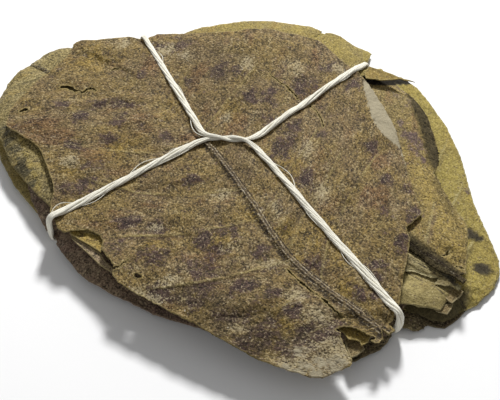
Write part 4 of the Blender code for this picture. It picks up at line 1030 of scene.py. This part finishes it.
def tube_end(shape):
    """The vertices of one flat, round end of a closed tube."""
    seen = set()
    for face in shape.faces:
        if face in seen:
            continue
        flat_part = {face}
        reached = [face]
        while reached:
            for edge in reached.pop().edges:
                for other in edge.link_faces:
                    if other not in flat_part and other.normal.dot(face.normal) > 0.9999:
                        flat_part.add(other)
                        reached.append(other)
        seen |= flat_part
        ring = {vert for part in flat_part for vert in part.verts}
        if len(ring) >= 6:
            middle = ring_middle(ring)
            spread = [(vert.co - middle).length for vert in ring]
            if max(spread) < 1.05 * min(spread):
                return ring
    raise ValueError("the packed string has no flat end")


def smoothed(values, times_over):
    """A row of values or points, evened out along its length."""
    values = values.copy()
    for _ in range(times_over):
        values[1:-1] = 0.5 * values[1:-1] + 0.25 * (values[:-2] + values[2:])
    return values


ring = tube_end(tube)
walked = set(ring)
centres = []
while ring:
    centres.append(ring_middle(ring) / MM + STACK_CENTRE)
    ring = {edge.other_vert(vert) for vert in ring for edge in vert.link_edges} - walked
    walked |= ring
string_wall = BVHTree.FromBMesh(tube)
rough_line = np.array(centres)
lengths = np.concatenate(([0.0], np.cumsum(np.linalg.norm(np.diff(rough_line, axis=0), axis=1))))
stations = np.arange(0.0, lengths[-1], STRING_STEP)
line = smoothed(np.stack([np.interp(stations, lengths, rough_line[:, k]) for k in range(3)], 1), 6)
girth = [string_wall.find_nearest((Vector(point) - STACK_CENTRE) * MM)[3] / MM for point in line]
girth = smoothed(np.clip(girth, LEAST_GIRTH, MOST_GIRTH), 12)

# Where two runs are wound round each other they're drawn together. The runs over the top are then
# lowered onto the leaves, and two that lie on each other both go down as far as the lower one can.
leaf_tops = [BVHTree.FromObject(blade, bpy.context.evaluated_depsgraph_get())
             for blade in (outer, third, dark, square, curved, mottled, torn, olive, top)]
on_top = line[:, 2] > TOP_RUNS
paired = np.zeros(len(line))
partner = line.copy()
for index in np.flatnonzero(on_top):
    away = np.linalg.norm(line - line[index], axis=1)
    away[np.abs(stations - stations[index]) < OWN_RUN] = FAR_OFF
    paired[index] = away.min() < PAIR_REACH
    partner[index] = line[away.argmin()]
drawn = DRAWN_SHARE * smoothed(paired, 6)[:, None]
line += (partner - line) * drawn * (paired[:, None] > 0)
line = smoothed(line, 2)
paired = smoothed(paired, 10)
gap = np.zeros(len(line))
for index in np.flatnonzero(on_top):
    start = (Vector(line[index]) - STACK_CENTRE) * MM + Vector((0.0, 0.0, 0.004))
    hits = [leaves.ray_cast(start, Vector((0.0, 0.0, -1.0)), 0.02)[0] for leaves in leaf_tops]
    levels = [hit.z / MM for hit in hits if hit is not None]
    if levels:
        gap[index] = line[index, 2] - max(levels) - SEAT_SHARE * girth[index]
shared_gap = gap.copy()
for index in np.flatnonzero(on_top):
    away = np.hypot(line[:, 0] - line[index, 0], line[:, 1] - line[index, 1])
    other = (away < CROSS_REACH) & (np.abs(stations - stations[index]) > OWN_RUN) & on_top
    if other.any():
        shared_gap[index] = min(gap[index], gap[other].min())
shared_gap = np.clip(shared_gap, 0.0, MOST_DROP)
tight = shared_gap.copy()
for shift in (1, 2):
    tight[shift:] = np.minimum(tight[shift:], shared_gap[:-shift])
    tight[:-shift] = np.minimum(tight[:-shift], shared_gap[shift:])
line[:, 2] -= smoothed(tight, 14)
camera_floor = np.array(camera_place / MM + STACK_CENTRE)
nearness = np.clip(1.45 - np.linalg.norm(line - camera_floor, axis=1) / CAMERA_REACH, 0.35, 0.65)


def string_frames(path):
    """For each point of the string, the direction across its flat side and the one out of it."""
    runs = np.gradient(path, axis=0)
    runs /= np.linalg.norm(runs, axis=1)[:, None]
    side = np.cross(runs[0], (0.0, 0.0, 1.0))
    sides = []
    for run_here in runs:
        level = np.cross(run_here, (0.0, 0.0, 1.0))
        if np.linalg.norm(level) > 0.6:
            level *= np.sign(np.dot(level, side))
            side = 0.8 * side + 0.2 * level
        side = side - run_here * np.dot(side, run_here)
        side /= np.linalg.norm(side)
        sides.append(side)
    sides = np.array(sides)
    return sides, np.cross(sides, runs)


def soft_tube(shape, path, frames, widths, sides_count, seed, fuzz):
    """Adds a closed tube of soft fibre along a path, with an uneven surface, above the floor."""
    fibre = shape.loops.layers.uv.active
    turns = np.arange(sides_count) * 2 * math.pi / sides_count
    last = None
    for index, (middle, a, b, width) in enumerate(zip(path, *frames, widths)):
        made = []
        for turn in turns:
            u, v = math.cos(turn), math.sin(turn)
            swell_here = 1 + fuzz * noise.noise(Vector((u * 1.4 + seed, v * 1.4, index * 0.35)))
            spot = middle + (a * u + b * v) * width * swell_here
            spot[2] = max(spot[2], FLOOR_GAP)
            made.append(shape.verts.new((Vector(spot) - STACK_CENTRE) * MM))
        if last is None:
            shape.faces.new(made)
        else:
            for k in range(sides_count):
                wall = shape.faces.new((last[k - 1], last[k], made[k], made[k - 1]))
                for loop, at, on in zip(wall.loops, (k - 1, k, k, k - 1), (0, 0, 1, 1)):
                    loop[fibre].uv = (at / sides_count + seed, (index + on) * 0.01)
        last = made
    shape.faces.new(last)


def drift_of(rate, row, level):
    """A slow random change along the whole string."""
    return np.array([noise.noise(Vector((s * rate, row, level))) for s in stations])


string_shape = bmesh.new()
string_shape.loops.layers.uv.new("fibre")
string_way = string_frames(line)
flatness = drift_of(0.045, 7.7, 0.5)
steep = smoothed(np.abs(np.gradient(line[:, 2])) / STRING_STEP, 8)
half_wide = girth * (0.46 + 2.1 * nearness + 0.3 * flatness) * (1 - 0.38 * paired) * (1 + 0.5 * steep)
half_tall = girth * (0.80 - 0.15 * flatness)
for yarn in range(YARNS):
    drift = drift_of(0.04, 5.0 * yarn, 2.5)
    slack = drift_of(0.09, 3.0 * yarn, 0.5)
    turns = 2 * math.pi * (stations / YARN_PITCH + yarn / YARNS) + 0.9 * drift
    wide_off = np.cos(turns) * half_wide * 0.62
    tall_off = np.sin(turns) * half_tall * 0.50
    path = line + string_way[0] * wide_off[:, None] + string_way[1] * tall_off[:, None]
    thick_yarn = 0.46 * np.sqrt(half_wide * half_tall) * (1 + 0.3 * slack)
    soft_tube(string_shape, path, string_way, thick_yarn, YARN_SIDES, 5.0 * yarn, 0.2)

# Stray fibres, from one place along the string to another, with a bow to its right or left and the
# fibre's own half width. After them come short hairs at random places.
STRAYS = (
    (697.5, 708.5, 3.0, 0.19), (684, 696.5, -1.6, 0.20), (656, 672, 2.6, 0.2), (646, 653, 1.2, 0.16),
    (583, 600, 2.7, 0.19), (537, 548, -1.2, 0.17), (267, 277, 1.5, 0.18), (213, 227, -1.6, 0.2),
    (640, 662, -0.8, 0.22), (525, 540, 0.9, 0.18), (560, 574, -0.8, 0.16), (150, 164, 0.8, 0.16),
    (128, 138, -0.8, 0.15), (240, 252, 0.7, 0.15))
for number, (begin, end, bow, thin) in enumerate(STRAYS):
    here = (stations >= begin) & (stations <= end)
    where = (stations[here] - begin) / (end - begin)
    rise = np.sin(np.clip(where, 0, 1) * math.pi)
    edge = np.sign(bow) * half_wide[here] * 0.75 + bow * rise
    path = line[here] + string_way[0][here] * edge[:, None]
    path[:, 2] += 0.25 * rise - 0.3
    fibre_way = [way[here] for way in string_way]
    soft_tube(string_shape, path, fibre_way, np.full(len(path), thin), 5, 60.0 + number, 0.2)
HAIRS = 240
HAIR_POINTS = 4
dice = np.random.default_rng(4)
for _ in range(HAIRS):
    index = int(dice.integers(6, len(line) - 6))
    hand = 1.0 if dice.random() > 0.5 else -1.0
    span = dice.uniform(0.8, 2.2)
    ahead = line[index + 1] - line[index - 1]
    ahead /= np.linalg.norm(ahead)
    root_spot = line[index] + string_way[0][index] * hand * half_wide[index] * 0.8
    lean_by = dice.uniform(-1.0, 1.0)
    steps = np.linspace(0, 1, HAIR_POINTS)[:, None]
    path = root_spot + (string_way[0][index] * hand * 0.5 + ahead * lean_by) * span * steps
    path = path + string_way[1][index] * (dice.uniform(-0.1, 0.7) * span * steps**2)
    hair_way = [np.repeat(way[index][None], HAIR_POINTS, 0) for way in string_way]
    soft_tube(string_shape, path, hair_way, np.full(HAIR_POINTS, 0.07), 3, 0.0, 0.0)
bmesh.ops.recalc_face_normals(string_shape, faces=string_shape.faces)
string_mesh = bpy.data.meshes.new("cotton_tie")
string_shape.to_mesh(string_mesh)
string_shape.free()
string_mesh.shade_smooth()
cotton_tie = bpy.data.objects.new("cotton_tie", string_mesh)
bpy.context.scene.collection.objects.link(cotton_tie)
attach(cotton_tie, "root")
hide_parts("tie_string")
cotton = bpy.data.materials.new("soft_cotton")
cotton.use_nodes = True
cotton_tree = cotton.node_tree
cotton_shader = cotton_tree.nodes["Principled BSDF"]
cotton_place = put(cotton_tree, "ShaderNodeTexCoord").outputs["UV"]
streaks = put(cotton_tree, "ShaderNodeMapping", {"Vector": cotton_place, "Scale": (26.0, 22.0, 1.0)})
fluff = grain(cotton_tree, streaks.outputs["Vector"], 1.0, 4, 0.6)
fibre_tone = tint(cotton_tree, step_of(cotton_tree, fluff, 0.34, 0.56), (0.62, 0.58, 0.46, 1),
                  (0.90, 0.87, 0.75, 1))
fibre_bump = put(cotton_tree, "ShaderNodeBump", {"Height": fluff, "Strength": 0.6, "Distance": 0.0003})
cotton_tree.links.new(fibre_tone, cotton_shader.inputs["Base Color"])
cotton_tree.links.new(fibre_bump.outputs["Normal"], cotton_shader.inputs["Normal"])
cotton_shader.inputs["Roughness"].default_value = 0.95
cotton_shader.inputs["Specular IOR Level"].default_value = 0.1
cotton_shader.inputs["Sheen Weight"].default_value = 0.3
string_mesh.materials.append(cotton)
